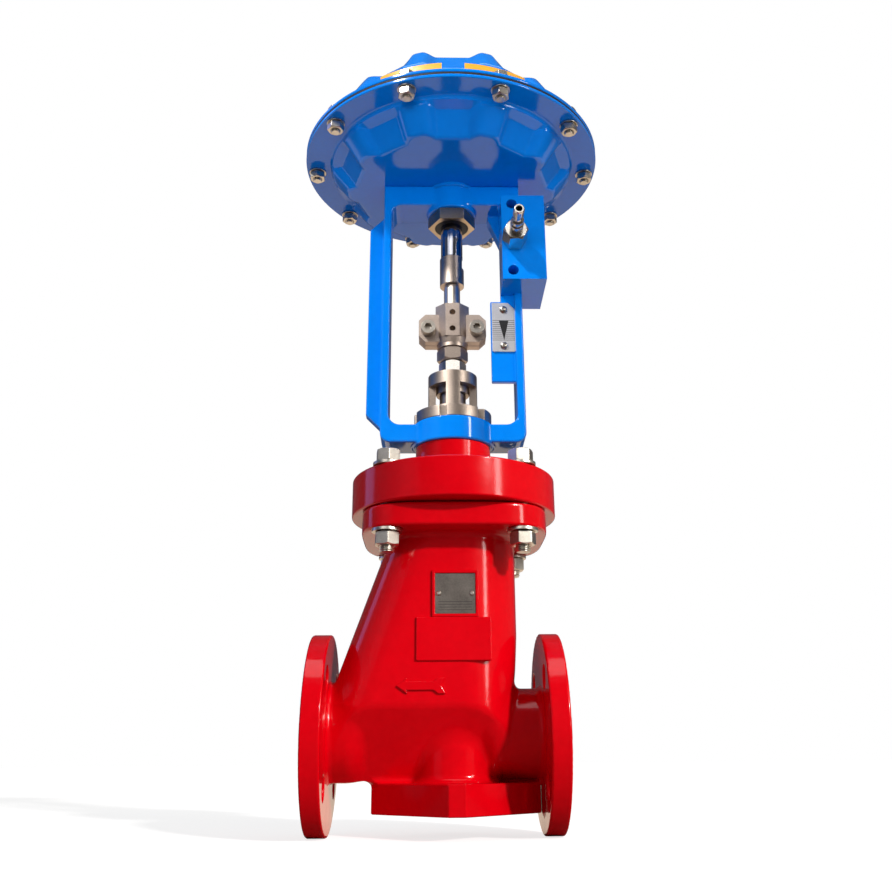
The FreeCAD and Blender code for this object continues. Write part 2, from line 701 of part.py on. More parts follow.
def nameplate():
    thickness = S.PanelHeight * 0.5
    low = PIPE + S.NameplateLevel - S.NameplateWidth / 2
    front = -S.TrunkDepth / 2 - thickness
    sheet_piece = box(S.NameplateWidth, thickness, S.NameplateWidth,
                      (-S.NameplateWidth / 2, front, low))
    holes = [cylinder(NAMEPLATE_RIVET, thickness * 3, (x, front - thickness, z), "y")
             for x, z in rivet_places()]
    piece("nameplate", less(sheet_piece, *holes))
    rivets = []
    for x, z in rivet_places():
        shank = cylinder(NAMEPLATE_RIVET, NAMEPLATE_GRIP + thickness, (x, front, z), "y")
        head = cone(NAMEPLATE_RIVET, NAMEPLATE_RIVET * 1.7, 0.8, (x, front - 0.8, z), "y")
        rivets.append(joined(shank, head))
    piece("nameplate_rivets", group(rivets))


def seat_and_plug():
    bore = S.SeatBore / 2
    thread = S.SeatThread / 2
    low = PIPE + S.SeatLevel - S.SeatThreadLength
    floor = PIPE + S.SeatLevel
    bevel = 2
    piece("seat_ring", turned([
        (bore, low),
        (thread - S.FittedGap, low),
        (thread - S.FittedGap, floor),
        (S.SeatFlange / 2, floor),
        (S.SeatFlange / 2, SEAT_TOP),
        (bore + bevel, SEAT_TOP),
        (bore, SEAT_TOP - bevel),
    ]))
    head_low = SEAT_TOP + S.SeatGap
    head_high = head_low + S.PlugHeadHeight
    hub_high = head_high + S.PlugHubHeight
    stem = S.PlugStem / 2
    socket = S.PlugHeadHeight * 0.9
    head = turned([
        (0, low - 4),
        (bore * 0.35, low - 4),
        (bore * 0.8, low + 6),
        (bore - 0.4, SEAT_TOP - bevel - 1),
        (bore, SEAT_TOP - bevel + S.SeatGap),
        (bore + bevel, head_low),
        (S.PlugHead / 2, head_low + 1),
        (S.PlugHead / 2, head_high),
        (S.PlugHub / 2, head_high + 3),
        (S.PlugHub / 2, hub_high),
        (stem, hub_high),
        (stem, hub_high - socket),
        (0, hub_high - socket),
    ])
    pin_level = hub_high - socket / 2
    pin_hole = cylinder(PLUG_PIN, S.PlugHub, (-S.PlugHub / 2, 0, pin_level), "x")
    piece("plug", less(head, pin_hole))
    stem_foot = hub_high - socket
    rod = cylinder(S.PlugStem, COUPLING + S.CouplingHeight * 0.42 - stem_foot, (0, 0, stem_foot))
    stem_hole = cylinder(PLUG_PIN, S.PlugHub, (-S.PlugHub / 2, 0, pin_level), "x")
    piece("plug_stem", less(rod, stem_hole))
    piece("plug_pin", cylinder(PLUG_PIN, S.PlugHub * 0.98, (-S.PlugHub * 0.49, 0, pin_level), "x"))


PLUG_PIN = 4


def bonnet():
    stem_way = S.PlugStem / 2 + 0.6
    pilot_low = BODY_TOP - S.BonnetPilotLength
    housing_low = pilot_low - S.GuideHousingLength
    bush_top = housing_low + S.GuideBushLength
    packing_floor = DISC_TOP + S.PackingFloor
    bush = S.GuideBushDiameter / 2
    packing = S.PackingBore / 2
    shape = turned([
        (bush, housing_low),
        (S.GuideHousing / 2, housing_low),
        (S.GuideHousing / 2, pilot_low - 4),
        (S.GuideHousing / 2 + 4, pilot_low),
        (S.BonnetPilot / 2, pilot_low),
        (S.BonnetPilot / 2, DISC),
        (S.BonnetDiameter / 2 - 1.5, DISC),
        (S.BonnetDiameter / 2, DISC + 1.5),
        (S.BonnetDiameter / 2, DISC_TOP - 1.5),
        (S.BonnetDiameter / 2 - 1.5, DISC_TOP),
        (S.BonnetNeck / 2 + 4, DISC_TOP),
        (S.BonnetNeck / 2, DISC_TOP + 4),
        (S.BonnetNeck / 2, HUB),
        (S.BonnetThread / 2, HUB),
        (S.BonnetThread / 2, THREAD_TOP),
        (packing, THREAD_TOP),
        (packing, packing_floor),
        (stem_way, packing_floor),
        (stem_way, bush_top),
        (bush, bush_top),
    ])
    holes = [cylinder(S.StudHole, S.BonnetThickness + 2, (x, y, DISC - 1))
             for x, y in ring_places(S.StudCircle, 4, 45)]
    piece("bonnet", less(shape, *holes))
    piece("guide_bush", tube(S.GuideBushDiameter - S.FittedGap * 2, S.PlugStem + S.RunningGap * 2,
                             S.GuideBushLength, (0, 0, housing_low)))
    gasket_outer = S.BonnetPilot
    piece("bonnet_gasket", tube(gasket_outer, gasket_outer - S.GasketWidth * 2,
                                S.GasketThickness, (0, 0, pilot_low - S.GasketThickness)))


def chamfered_nut(flats, height, bore, at, along="z", washer_face=False):
    """A hexagon nut with its corners turned off at both ends."""
    flats = size(flats)
    corner = flats * 1.155
    x, y, z = at
    body = prism(flats, height, at, along=along)
    turning = flats * 0.08
    band = size(height) - turning * 2
    ways = {"x": (1, 0, 0), "y": (0, 1, 0), "z": (0, 0, 1)}[along]

    def shifted(step):
        return tuple(size(place) + step * way if way else place for place, way in zip(at, ways))

    drum = joined(
        cone(flats * 0.95, corner, turning, at, along),
        cylinder(corner, band, shifted(turning), along),
        cone(corner, flats * 0.95, turning, shifted(turning + band), along),
    )
    solid = shared(body, drum)
    return less(solid, cylinder(bore, height, at, along)) if bore else solid


def bonnet_bolting():
    studs, low_nuts, low_washers, top_nuts, top_washers = [], [], [], [], []
    washer_low = PIPE + S.BodyHeight - S.StudWasherThickness
    for x, y in ring_places(S.StudCircle, 4, 45):
        studs.append(cylinder(S.StudDiameter, STUD_HIGH - STUD_LOW, (x, y, STUD_LOW)))
        low_washers.append(tube(S.StudWasher, S.StudDiameter, S.StudWasherThickness,
                                (x, y, washer_low)))
        low_nuts.append(chamfered_nut(S.StudNutFlats, S.StudNutHeight, S.StudDiameter,
                                      (x, y, washer_low - S.StudNutHeight)))
        top_washers.append(tube(S.StudWasher, S.StudDiameter, S.StudWasherThickness,
                                (x, y, DISC_TOP)))
        top_nuts.append(chamfered_nut(S.StudNutFlats, S.StudNutHeight, S.StudDiameter,
                                      (x, y, DISC_TOP + S.StudWasherThickness)))
    piece("bonnet_studs", group(studs))
    piece("bonnet_nuts_lower", group(low_nuts))
    piece("bonnet_washers_lower", group(low_washers))
    piece("bonnet_nuts_upper", group(top_nuts))
    piece("bonnet_washers_upper", group(top_washers))


def packing():
    """Packing, its spring and the gland parts, from the chamber floor up."""
    outer = S.PackingBore - S.FittedGap * 2
    inner = S.PlugStem + S.RunningGap * 2
    floor = DISC_TOP + S.PackingFloor
    washer = 1.5
    rings = 4
    discs = []
    rise = S.PackingSpringHeight / 4
    for number in range(4):
        low = floor + rise * number
        wide, narrow = (inner / 2, outer / 2) if number % 2 else (outer / 2, inner / 2)
        discs.append(turned([
            (wide, low),
            (wide, low + S.PackingDisc),
            (narrow, low + rise),
            (narrow, low + rise - S.PackingDisc),
        ]))
    piece("packing_spring", group(discs))
    support = floor + S.PackingSpringHeight
    piece("packing_washer", tube(outer, inner, washer, (0, 0, support)))
    stack = support + washer
    rise = S.PackingRingHeight
    half = (outer - inner) / 4
    vee = []
    for number in range(rings):
        low = stack + rise * number
        middle = inner / 2 + half
        vee.append(turned([
            (inner / 2, low),
            (middle, low + 1.8),
            (outer / 2, low),
            (outer / 2, low + rise - 1.8),
            (middle, low + rise),
            (inner / 2, low + rise - 1.8),
        ]))
    piece("packing_rings", group(vee))
    follower_low = stack + rise * rings
    shoulder = THREAD_TOP + 1.5
    follower_top = LANTERN_TOP - S.LanternHead - S.GlandCollarHeight - 0.6
    follower = turned([
        (inner / 2, follower_low),
        (outer / 2, follower_low),
        (outer / 2, shoulder),
        (S.FollowerHead / 2, shoulder),
        (S.FollowerHead / 2, follower_top),
        (inner / 2, follower_top),
    ])
    hole_level = (shoulder + follower_top) / 2
    tommy = [cylinder(4, S.FollowerHead * 1.1, (-S.FollowerHead * 0.55, 0, hole_level), "x"),
             cylinder(4, S.FollowerHead * 1.1, (0, -S.FollowerHead * 0.55, hole_level), "y")]
    piece("gland_follower", less(follower, *tommy))
    head_low = LANTERN_TOP - S.LanternHead
    foot_top = THREAD_TOP + S.LanternFoot
    legs = shared(
        tube(S.LanternDiameter, S.LanternDiameter - S.LanternWall * 2, head_low - THREAD_TOP,
             (0, 0, THREAD_TOP)),
        joined(middle_box(S.LanternLeg, S.LanternDiameter * 2, head_low - THREAD_TOP,
                          (0, 0, THREAD_TOP)),
               middle_box(S.LanternDiameter * 2, S.LanternLeg, head_low - THREAD_TOP,
                          (0, 0, THREAD_TOP))),
    )
    piece("gland_lantern", joined(
        tube(S.LanternDiameter, S.GlandThread, S.LanternHead, (0, 0, head_low)),
        legs,
        tube(S.LanternDiameter, S.PackingBore, foot_top - THREAD_TOP, (0, 0, THREAD_TOP)),
    ))
    shank_low = follower_top
    screw_way = S.PlugStem + 0.8
    head = chamfered_nut(S.GlandScrewFlats, S.GlandScrewHead, screw_way, (0, 0, LANTERN_TOP))
    shank = tube(S.GlandThread, screw_way, LANTERN_TOP - shank_low, (0, 0, shank_low))
    piece("gland_screw", joined(head, shank))
    piece("gland_lock_ring", tube(S.GlandCollar, S.GlandThread, S.GlandCollarHeight,
                                  (0, 0, head_low - S.GlandCollarHeight)))


def yoke_ring_nut():
    nut = tube(S.RingNutDiameter, S.BonnetThread, S.RingNutHeight, (0, 0, HUB_TOP))
    slots = []
    for x, y in ring_places(S.RingNutDiameter, 6, 15):
        slots.append(middle_box(6, 6, S.RingNutHeight + 2, (x, y, HUB_TOP - 1)))
    piece("yoke_ring_nut", less(nut, *slots))


def yoke_frame():
    half = S.YokeWidth / 2
    low = HUB + S.HubDrop
    sill = low + S.YokeFoot
    inner = half - S.PillarWidth
    solid = middle_box(S.YokeWidth, S.YokeDepth, YOKE_TOP - low, (0, 0, low))
    solid = eased(solid, S.WindowCorner * 0.8,
                  lambda middle, way, edge: abs(way.y) > 0.9 and middle.z < sill.value)
    window = middle_box(inner * 2, S.YokeDepth * 1.2, CROSSBAR - sill, (0, 0, sill))
    window = eased(window, S.WindowCorner, lambda middle, way, edge: abs(way.y) > 0.9)
    return less(solid, window)


def yoke():
    half = S.YokeWidth / 2
    inner = half - S.PillarWidth
    front = -S.YokeDepth / 2
    fin_low = HUB + S.YokeFoot * 1.9
    fin_high = YOKE_TOP - S.YokeHead * 2.05
    fin_out = -half - S.SideFinWidth
    fin = plate(
        [
            (-half + 1, fin_low - S.SideFinWidth),
            (-half, fin_low - S.SideFinWidth),
            (fin_out, fin_low),
            (fin_out, fin_high),
            (-half, fin_high + S.SideFinWidth),
            (-half + 1, fin_high + S.SideFinWidth),
        ],
        S.SideFinDepth,
        "XZ_Plane",
        centred=True,
    )
    pad_left = inner - S.ScaleWidth - 1
    pad_low = SCALE_LOW - 28
    pad_high = SCALE_LOW + S.ScaleHeight + 2
    pad_back = front + 4 + S.ScalePadThickness
    pad = plate(
        [
            (pad_left, pad_low),
            (half - 1, pad_low),
            (half - 1, CROSSBAR + 1),
            (S.BlockLeft, CROSSBAR + 1),
            (S.BlockLeft, pad_high),
            (pad_left, pad_high),
        ],
        S.ScalePadThickness,
        "XZ_Plane",
        (0, pad_back, 0),
    )
    gusset = plate(
        [
            (S.BlockLeft - 9, CROSSBAR + 1),
            (S.BlockLeft - 9, CROSSBAR - 4),
            (S.BlockLeft + 2, CROSSBAR - 30),
            (inner + 1, CROSSBAR - 36),
            (inner + 1, CROSSBAR + 1),
        ],
        S.YokeDepth * 0.4,
        "XZ_Plane",
        (0, S.YokeDepth / 2, 0),
    )
    solid = joined(
        yoke_frame(),
        cylinder(S.HubDiameter, S.HubHeight, (0, 0, HUB)),
        cylinder(S.BossDiameter, YOKE_TOP - BOSS, (0, 0, BOSS)),
        cylinder(S.SpigotDiameter, S.SheetThickness, (0, 0, YOKE_TOP)),
        fin,
        pad,
        gusset,
    )
    bushing_room = BOSS + S.BushingLength
    holes = [
        cylinder(S.BonnetThread, S.HubHeight, (0, 0, HUB)),
        cylinder(S.BushingThread, S.BushingLength, (0, 0, BOSS)),
        cylinder(S.StemDiameter + 2, YOKE_TOP + S.SheetThickness - bushing_room,
                 (0, 0, bushing_room)),
    ]
    for x, y in yoke_screw_places():
        holes.append(cylinder(S.YokeScrew, S.YokeHead, (x, y, YOKE_TOP - S.YokeHead * 0.8)))
    for x, z in scale_screw_places():
        holes.append(cylinder(S.ScaleScrew, S.ScalePadThickness, (x, pad_back - S.ScalePadThickness,
                                                                 z), "y"))
    for x, z in block_hole_places():
        holes.append(cylinder(S.BlockScrew, S.ScalePadThickness, (x, pad_back - S.ScalePadThickness,
                                                                 z), "y"))
    piece("yoke", less(solid, *holes))


def yoke_screw_places():
    for x_side in (-1, 1):
        for y_side in (-1, 1):
            yield S.YokeScrewCircle * (0.5 * x_side), S.YokeScrewRow * (0.5 * y_side)


def stem_train():
    """Everything that the diaphragm lifts, below the yoke's top."""
    nut_hex = S.LockNutHeight * 0.78
    hexagon = chamfered_nut(S.LockNutFlats, nut_hex, S.PlugStem, (0, 0, GLAND_TOP + NUT_GAP))
    collar = tube(S.LockNutFlats * 1.12, S.PlugStem, S.LockNutHeight - nut_hex - NUT_GAP,
                  (0, 0, GLAND_TOP + NUT_GAP + nut_hex))
    piece("stem_lock_nut", joined(hexagon, collar))

    taper = 5.4
    shape = joined(
        prism(S.CouplingFlats, S.CouplingHeight - taper, (0, 0, COUPLING + taper), sides=8),
        cone(S.CouplingFlats * 0.9, S.CouplingFlats, taper, (0, 0, COUPLING)),
    )
    ear_low = COUPLING + S.EarRise
    ear_high = ear_low + S.EarHeight
    span = S.EarSpan / 2
    cut = S.EarHeight * 0.22
    ears = plate(
        [
            (-span + cut, ear_low), (span - cut, ear_low), (span, ear_low + cut),
            (span, ear_high - cut), (span - cut, ear_high), (-span + cut, ear_high),
            (-span, ear_high - cut), (-span, ear_low + cut),
        ],
        S.EarDepth,
        "XZ_Plane",
        centred=True,
    )
    plug_end = COUPLING + S.CouplingHeight * 0.42
    bores = [
        cylinder(S.PlugStem, plug_end - COUPLING, (0, 0, COUPLING)),
        cylinder(S.RodDiameter, COUPLING_TOP - plug_end, (0, 0, plug_end)),
    ]
    screw_level = ear_low + S.EarHeight * 0.43
    screw_x = S.EarSpan * 0.36
    for side in (-1, 1):
        bores.append(cylinder(S.CouplingScrew, S.EarDepth * 2,
                              (screw_x * side, -S.EarDepth, screw_level), "y"))
    for share in (0.33, 0.76):
        level = COUPLING + S.CouplingHeight * share
        bores.append(cylinder(5.4, S.CouplingFlats, (0, -S.CouplingFlats, level), "y"))
    whole = less(joined(shape, ears), *bores)
    room = S.EarSpan * 1.2
    gap = S.CouplingSplit / 2
    tall = S.CouplingHeight * 1.2
    front_room = box(room, room, tall, (-room / 2, -room - gap, COUPLING - 1))
    back_room = box(room, room, tall, (-room / 2, gap, COUPLING - 1))
    piece("coupling_front", shared(whole, front_room))
    piece("coupling_rear", shared(whole, back_room))
    screws = []
    for side in (-1, 1):
        head_front = -S.EarDepth / 2 - S.CouplingScrew
        at = (screw_x * side, head_front, screw_level)
        head = cylinder(S.CouplingScrewHead, S.CouplingScrew, at, "y")
        shank = cylinder(S.CouplingScrew, S.EarDepth * 1.45, at, "y")
        key = prism(6, S.CouplingScrew * 0.5, at, along="y")
        screws.append(less(joined(head, shank), key))
    piece("coupling_screws", group(screws))

    sleeve_low = COUPLING_TOP + S.SleeveRise
    sleeve_top = sleeve_low + S.SleeveHeight
    flat = box(S.SleeveDiameter, S.SleeveDiameter, S.SleeveHeight * 0.4,
               (S.SleeveDiameter * 0.42, -S.SleeveDiameter / 2, sleeve_top - S.SleeveHeight * 0.4))
    piece("stem_sleeve", less(tube(S.SleeveDiameter, S.RodDiameter, S.SleeveHeight,
                                   (0, 0, sleeve_low)), flat))
    stem_shoulder = DISC_SEAT
    thread_top = stem_shoulder + S.DiaphragmThickness + S.DiaphragmPlateThickness
    thread_top = thread_top + S.PlateWasherThickness + S.PlateNutHeight + 2
    piece("actuator_stem", turned([
        (0, plug_end),
        (S.RodDiameter / 2, plug_end),
        (S.RodDiameter / 2, sleeve_top),
        (S.StemDiameter / 2 - 0.8, sleeve_top),
        (S.StemDiameter / 2, sleeve_top + 0.8),
        (S.StemDiameter / 2, stem_shoulder),
        (S.StemThread / 2, stem_shoulder),
        (S.StemThread / 2, thread_top),
        (0, thread_top),
    ]))


NUT_GAP = 0.3
DISC_SEAT = YOKE_TOP + S.SheetThickness + S.DiaphragmRest
SCALE_LOW = CROSSBAR - S.YokeHead * 7.38


def stem_bushing():
    """Screwed bushing with liner, scraper and two O-rings around the stem."""
    low = BOSS - S.BushingHead
    way = S.StemDiameter + S.RunningGap * 2
    scraper_outer = S.StemDiameter * 1.55
    scraper_height = S.BushingHead * 0.4
    liner = S.BushLiner
    hexagon = prism(S.BushingFlats, S.BushingHead, (0, 0, low))
    thread = cylinder(S.BushingThread, S.BushingLength, (0, 0, BOSS))
    ring_level = low + S.BushingHead * 0.75
    high_level = BOSS + S.BushingLength - 2.5
    cord = 2
    ring_diameter = S.StemDiameter + cord
    groove = S.StemDiameter + cord * 2 + 0.4
    bores = [
        cylinder(scraper_outer, scraper_height, (0, 0, low)),
        cylinder(S.StemDiameter + 0.6, S.BushingHead + S.BushingLength, (0, 0, low)),
        cylinder(liner, S.BushingLength - 5, (0, 0, BOSS)),
        cylinder(groove, cord + 0.4, (0, 0, ring_level - cord / 2 - 0.2)),
        cylinder(groove, cord + 0.4, (0, 0, high_level - cord / 2 - 0.2)),
    ]
    piece("bushing_nut", less(joined(hexagon, thread), *bores))
    piece("scraper_ring", tube(scraper_outer - S.FittedGap * 2, way, scraper_height, (0, 0, low)))
    piece("bushing_liner", tube(liner - S.FittedGap * 2, way, S.BushingLength - 5, (0, 0, BOSS)))
    piece("stem_o_rings", group([torus(ring_diameter + 0.1, cord, (0, 0, ring_level)),
                                 torus(ring_diameter + 0.1, cord, (0, 0, high_level))]))


def lobed_form(plate_level, band_level, rim_level, inset, up, facet):
    """The drum of a casing half with ten flats, smaller by inset all round.

    up is +1 when the plate is above the rim and -1 when it is below.
    """
    band = S.BandDiameter / 2 - inset
    lobe = S.LobeDiameter / 2 - inset
    plate_z = plate_level - inset * up
    band_level = band_level - inset * up
    body = new_body()
    drum = outline(body, "XZ_Plane", [
        (0, rim_level), (band, rim_level), (band, band_level), (lobe, plate_z), (0, plate_z),
    ])
    shape = body.newObject("PartDesign::Revolution", "Drum")
    shape.Profile = drum
    shape.ReferenceAxis = (drum, ["V_Axis"])
    shape.Angle = 360
    far = S.BandDiameter * 0.7
    flat = outline(body, "XZ_Plane", [
        (facet / 2 - inset, plate_z),
        (S.FacetRim / 2 - inset, band_level),
        (far, band_level),
        (far, plate_z + inset * up + size(up)),
        (facet / 2 - inset, plate_z + inset * up + size(up)),
    ])
    pocket = body.newObject("PartDesign::Pocket", "Flat")
    pocket.Profile = flat
    bind(pocket, Length=S.FacetWidth + inset * 1.2)
    pocket.SideType = "Symmetric"
    pattern = body.newObject("PartDesign::PolarPattern", "Flats")
    pattern.Originals = [pocket]
    pattern.Axis = (origin_part(body, "Z_Axis"), [""])
    pattern.Angle = 360
    pattern.Occurrences = CASING_BOLTS
    body.Tip = pattern
    body.Placement = Placement(Vector(), Rotation(Z_AXIS, 180 / CASING_BOLTS))
    return body


CASING_BOLTS = 10


def casings():
    lower_band = FLANGE_LOW - S.LowerBand
    upper_band = FLANGE_HIGH + S.UpperBand
    zero = size(0)
    lower_out = joined(
        lobed_form(YOKE_TOP, lower_band, RUBBER, zero, -1, S.LowerFacetDiameter),
        cylinder(S.CasingDiameter, S.SheetThickness, (0, 0, FLANGE_LOW)),
    )
    lower_in = lobed_form(YOKE_TOP, lower_band, RUBBER + 1, S.SheetThickness, -1,
                          S.LowerFacetDiameter)
    floor = YOKE_TOP
    holes = [cylinder(S.SpigotDiameter, S.SheetThickness, (0, 0, floor))]
    for x, y in yoke_screw_places():
        holes.append(cone(S.YokeScrew, S.YokeScrew + S.SheetThickness * 2, S.SheetThickness,
                          (x, y, floor)))
    for x, y in ring_places(S.CasingBoltCircle, CASING_BOLTS):
        holes.append(cylinder(S.CasingBoltHole, S.SheetThickness, (x, y, FLANGE_LOW)))
    air_x, air_y = S.BlockLeft + 6, S.YokeDepth * 0.25
    holes.append(cylinder(5, S.SheetThickness, (air_x, air_y, floor)))
    holes.append(cylinder(S.PlugDiameter, S.SheetThickness, (*plug_place(), floor)))
    piece("lower_casing", less(lower_out, lower_in, *holes))

    upper_out = joined(
        lobed_form(CASING_TOP, upper_band, RUBBER_TOP, zero, 1, S.FacetDiameter),
        cylinder(S.CasingDiameter, S.SheetThickness, (0, 0, RUBBER_TOP)),
    )
    upper_in = lobed_form(CASING_TOP, upper_band, RUBBER_TOP - 1, S.SheetThickness, 1,
                          S.FacetDiameter)
    tops = [cylinder(VENT_BORE, S.SheetThickness, (*vent_place(), CASING_TOP - S.SheetThickness))]
    for x, y in ring_places(S.CasingBoltCircle, CASING_BOLTS):
        tops.append(cylinder(S.CasingBoltHole, S.SheetThickness, (x, y, RUBBER_TOP)))
    piece("upper_casing", less(upper_out, upper_in, *tops))


VENT_BORE = 10


def plug_place():
    return -S.PlugReach * 0.61, S.PlugReach * 0.79


def vent_place():
    return S.VentReach * 0.5, S.VentReach * 0.8


def casing_fittings():
    heads, washers, nuts = [], [], []
    nut_high = FLANGE_LOW - S.CasingWasherThickness
    nut_low = nut_high - S.CasingNutHeight
    head_low = FLANGE_HIGH + S.CasingWasherThickness
    for x, y in ring_places(S.CasingBoltCircle, CASING_BOLTS):
        shank = cylinder(S.CasingBolt, head_low - nut_low + S.CasingBoltEnd,
                         (x, y, nut_low - S.CasingBoltEnd))
        heads.append(joined(shank, chamfered_nut(S.CasingBoltFlats, S.CasingBoltHead, 0,
                                                 (x, y, head_low))))
        nuts.append(chamfered_nut(S.CasingBoltFlats, S.CasingNutHeight, S.CasingBolt,
                                  (x, y, nut_low)))
        for z in (nut_high, FLANGE_HIGH):
            washers.append(tube(S.CasingWasher, S.CasingBolt, S.CasingWasherThickness, (x, y, z)))
    piece("casing_bolts", group(heads))
    piece("casing_nuts", group(nuts))
    piece("casing_washers", group(washers))

    screws = []
    for x, y in yoke_screw_places():
        head = cone(S.YokeScrew, S.YokeScrew + S.SheetThickness * 2, S.SheetThickness,
                    (x, y, YOKE_TOP))
        shank = cylinder(S.YokeScrew, S.YokeHead * 0.75, (x, y, YOKE_TOP - S.YokeHead * 0.75))
        key = prism(3, 2, (x, y, YOKE_TOP + S.SheetThickness - 2))
        screws.append(less(joined(head, shank), key))
    piece("yoke_screws", group(screws))

    screw = cylinder(S.PlugDiameter, S.SheetThickness, (*plug_place(), YOKE_TOP))
    piece("casing_plug", less(screw, prism(4, 2, (*plug_place(), YOKE_TOP))))
    x, y = vent_place()
    cap = joined(
        cylinder(VENT_BORE, S.SheetThickness * 2, (x, y, CASING_TOP - S.SheetThickness * 2)),
        prism(17, 4, (x, y, CASING_TOP)),
        cylinder(S.VentDiameter * 0.6, S.VentHeight, (x, y, CASING_TOP)),
        cone(S.VentDiameter, S.VentDiameter * 0.7, S.VentHeight * 0.35,
             (x, y, CASING_TOP + S.VentHeight * 0.65)),
    )
    piece("vent_plug", less(cap, cylinder(4, S.SheetThickness * 2 + S.VentHeight * 0.6,
                                          (x, y, CASING_TOP - S.SheetThickness * 2))))

    labels = []
    band_low = FLANGE_HIGH + S.UpperBand * 0.12
    label_height = S.UpperBand * 0.8
    seat = S.BandDiameter + S.FittedGap * 2
    ring = tube(seat + S.LabelThickness * 2, seat, label_height, (0, 0, band_low))
    for start in (-124, -85):
        wedge = doc.addObject("Part::Cylinder", "Sector")
        bind(wedge, Radius=S.BandDiameter, Height=label_height)
        wedge.Angle = 29
        put(wedge, (0, 0, band_low), Rotation(Z_AXIS, start))
        labels.append(shared(ring, wedge))
    piece("casing_labels", group(labels))


def diaphragm_set():
    low = DISC_SEAT
    rubber_top = low + S.DiaphragmThickness
    inner = S.StemThread / 2
    rim = S.CasingDiameter / 2
    wall = S.FacetRim / 2 - S.SheetThickness - 3
    plate_edge = S.DiaphragmPlate / 2
    skin = S.DiaphragmThickness
    rubber = turned([
        (inner, low),
        (plate_edge + 4, low),
        (wall, RUBBER - 6),
        (wall + 4, RUBBER),
        (rim - 0.5, RUBBER),
        (rim - 0.5, RUBBER_TOP),
        (wall + 2, RUBBER_TOP),
        (wall - skin * 1.3, RUBBER - 5.5),
        (plate_edge + 2, rubber_top),
        (inner, rubber_top),
    ])
    holes = [cylinder(S.CasingBoltHole, skin, (x, y, RUBBER))
             for x, y in ring_places(S.CasingBoltCircle, CASING_BOLTS)]
    piece("diaphragm", less(rubber, *holes))
    plate_top = rubber_top + S.DiaphragmPlateThickness
    piece("diaphragm_plate", tube(S.DiaphragmPlate, S.StemThread, S.DiaphragmPlateThickness,
                                  (0, 0, rubber_top)))
    piece("diaphragm_washer", tube(S.PlateWasher, S.StemThread, S.PlateWasherThickness,
                                   (0, 0, plate_top)))
    piece("diaphragm_nut", chamfered_nut(S.PlateNutFlats, S.PlateNutHeight, S.StemThread,
                                         (0, 0, plate_top + S.PlateWasherThickness)))
    ceiling = CASING_TOP - S.SheetThickness
    springs = [spring(S.SpringDiameter, S.SpringWire, 6, ceiling - plate_top, (x, y, plate_top))
               for x, y in ring_places(S.SpringCircle, 6)]
    piece("actuator_springs", group(springs))


def block_hole_places():
    """Centres of the two deep holes of the air block, as (x, z)."""
    middle = YOKE_TOP - S.BlockDrop - S.BlockHeight / 2
    for side in (-1, 1):
        yield S.BlockLeft + S.BlockHole, middle + S.BlockHoleSpacing * (side * 0.5)


def air_block():
    top = YOKE_TOP - S.BlockDrop
    low = top - S.BlockHeight
    half = S.YokeWidth / 2
    pad_front = -S.YokeDepth / 2 + 4
    right = S.BlockLeft + S.BlockWidth
    front_part = box(S.BlockWidth, S.BlockFront - S.YokeDepth / 2, S.BlockHeight,
                     (S.BlockLeft, -S.BlockFront, low))
    side_part = box(right - half, S.BlockFront + S.BlockBack, S.BlockHeight,
                    (half, -S.BlockFront, low))
    lug = box(half - S.PillarWidth - 0.5 - S.BlockLeft, 4, S.BlockHeight,
              (S.BlockLeft, pad_front - 4, low))
    solid = joined(front_part, side_part, lug)
    port_x, port_z = nipple_place()
    holes = [cylinder(NIPPLE_THREAD, S.BlockFront * 0.4, (port_x, -S.BlockFront, port_z), "y")]
    depth = S.BlockFront * 0.5
    for x, z in block_hole_places():
        holes.append(cylinder(S.BlockHole, depth, (x, -S.BlockFront, z), "y"))
        holes.append(cylinder(S.BlockScrew, S.BlockFront, (x, -S.BlockFront, z), "y"))
    piece("air_block", less(solid, *holes))
    screws = []
    for x, z in block_hole_places():
        head_front = -S.BlockFront + depth - S.BlockScrew
        head = cylinder(S.BlockScrew * 1.7, S.BlockScrew, (x, head_front, z), "y")
        length = S.BlockFront - depth + S.BlockScrew - S.YokeDepth / 2 + S.ScalePadThickness + 3
        shank = cylinder(S.BlockScrew, length, (x, head_front, z), "y")
        key = prism(4, S.BlockScrew * 0.5, (x, head_front, z), along="y")
        screws.append(less(joined(head, shank), key))
    piece("air_block_screws", group(screws))


NIPPLE_THREAD = 13


def nipple_place():
    return S.BlockLeft + 11, YOKE_TOP - S.BlockDrop - S.BlockHeight / 2 - 4


def quick_connector():
    x, z = nipple_place()
    face = -S.BlockFront
    hex_front = face - S.NippleHexLength
    hexagon = chamfered_nut(S.NippleHex, S.NippleHexLength, 6, (x, hex_front, z), "y")
    thread = tube(NIPPLE_THREAD, 6, 10, (x, face, z), "y")
    piece("connector_adapter", joined(hexagon, thread))
    tip = S.NippleTip
    length = S.NippleLength
    start = hex_front - length
    profile = joined(
        cone(tip * 0.85, tip, 2, (x, start, z), "y"),
        cylinder(tip, length * 0.3, (x, start + 2, z), "y"),
        cone(tip, tip * 0.75, length * 0.06, (x, start + 2 + length * 0.3, z), "y"),
        cylinder(tip * 0.75, length * 0.16, (x, start + 2 + length * 0.36, z), "y"),
        cone(tip * 0.75, tip * 1.25, length * 0.06, (x, start + 2 + length * 0.52, z), "y"),
        cylinder(tip * 1.25, length * 0.42 - 2, (x, start + 2 + length * 0.58, z), "y"),
    )
    piece("air_nipple", less(profile, cylinder(5, length, (x, start, z), "y")))


def scale_screw_places():
    middle = S.YokeWidth / 2 - S.PillarWidth - S.ScaleWidth / 2
    for share in (0.12, 0.86):
        yield middle, SCALE_LOW + S.ScaleHeight * share


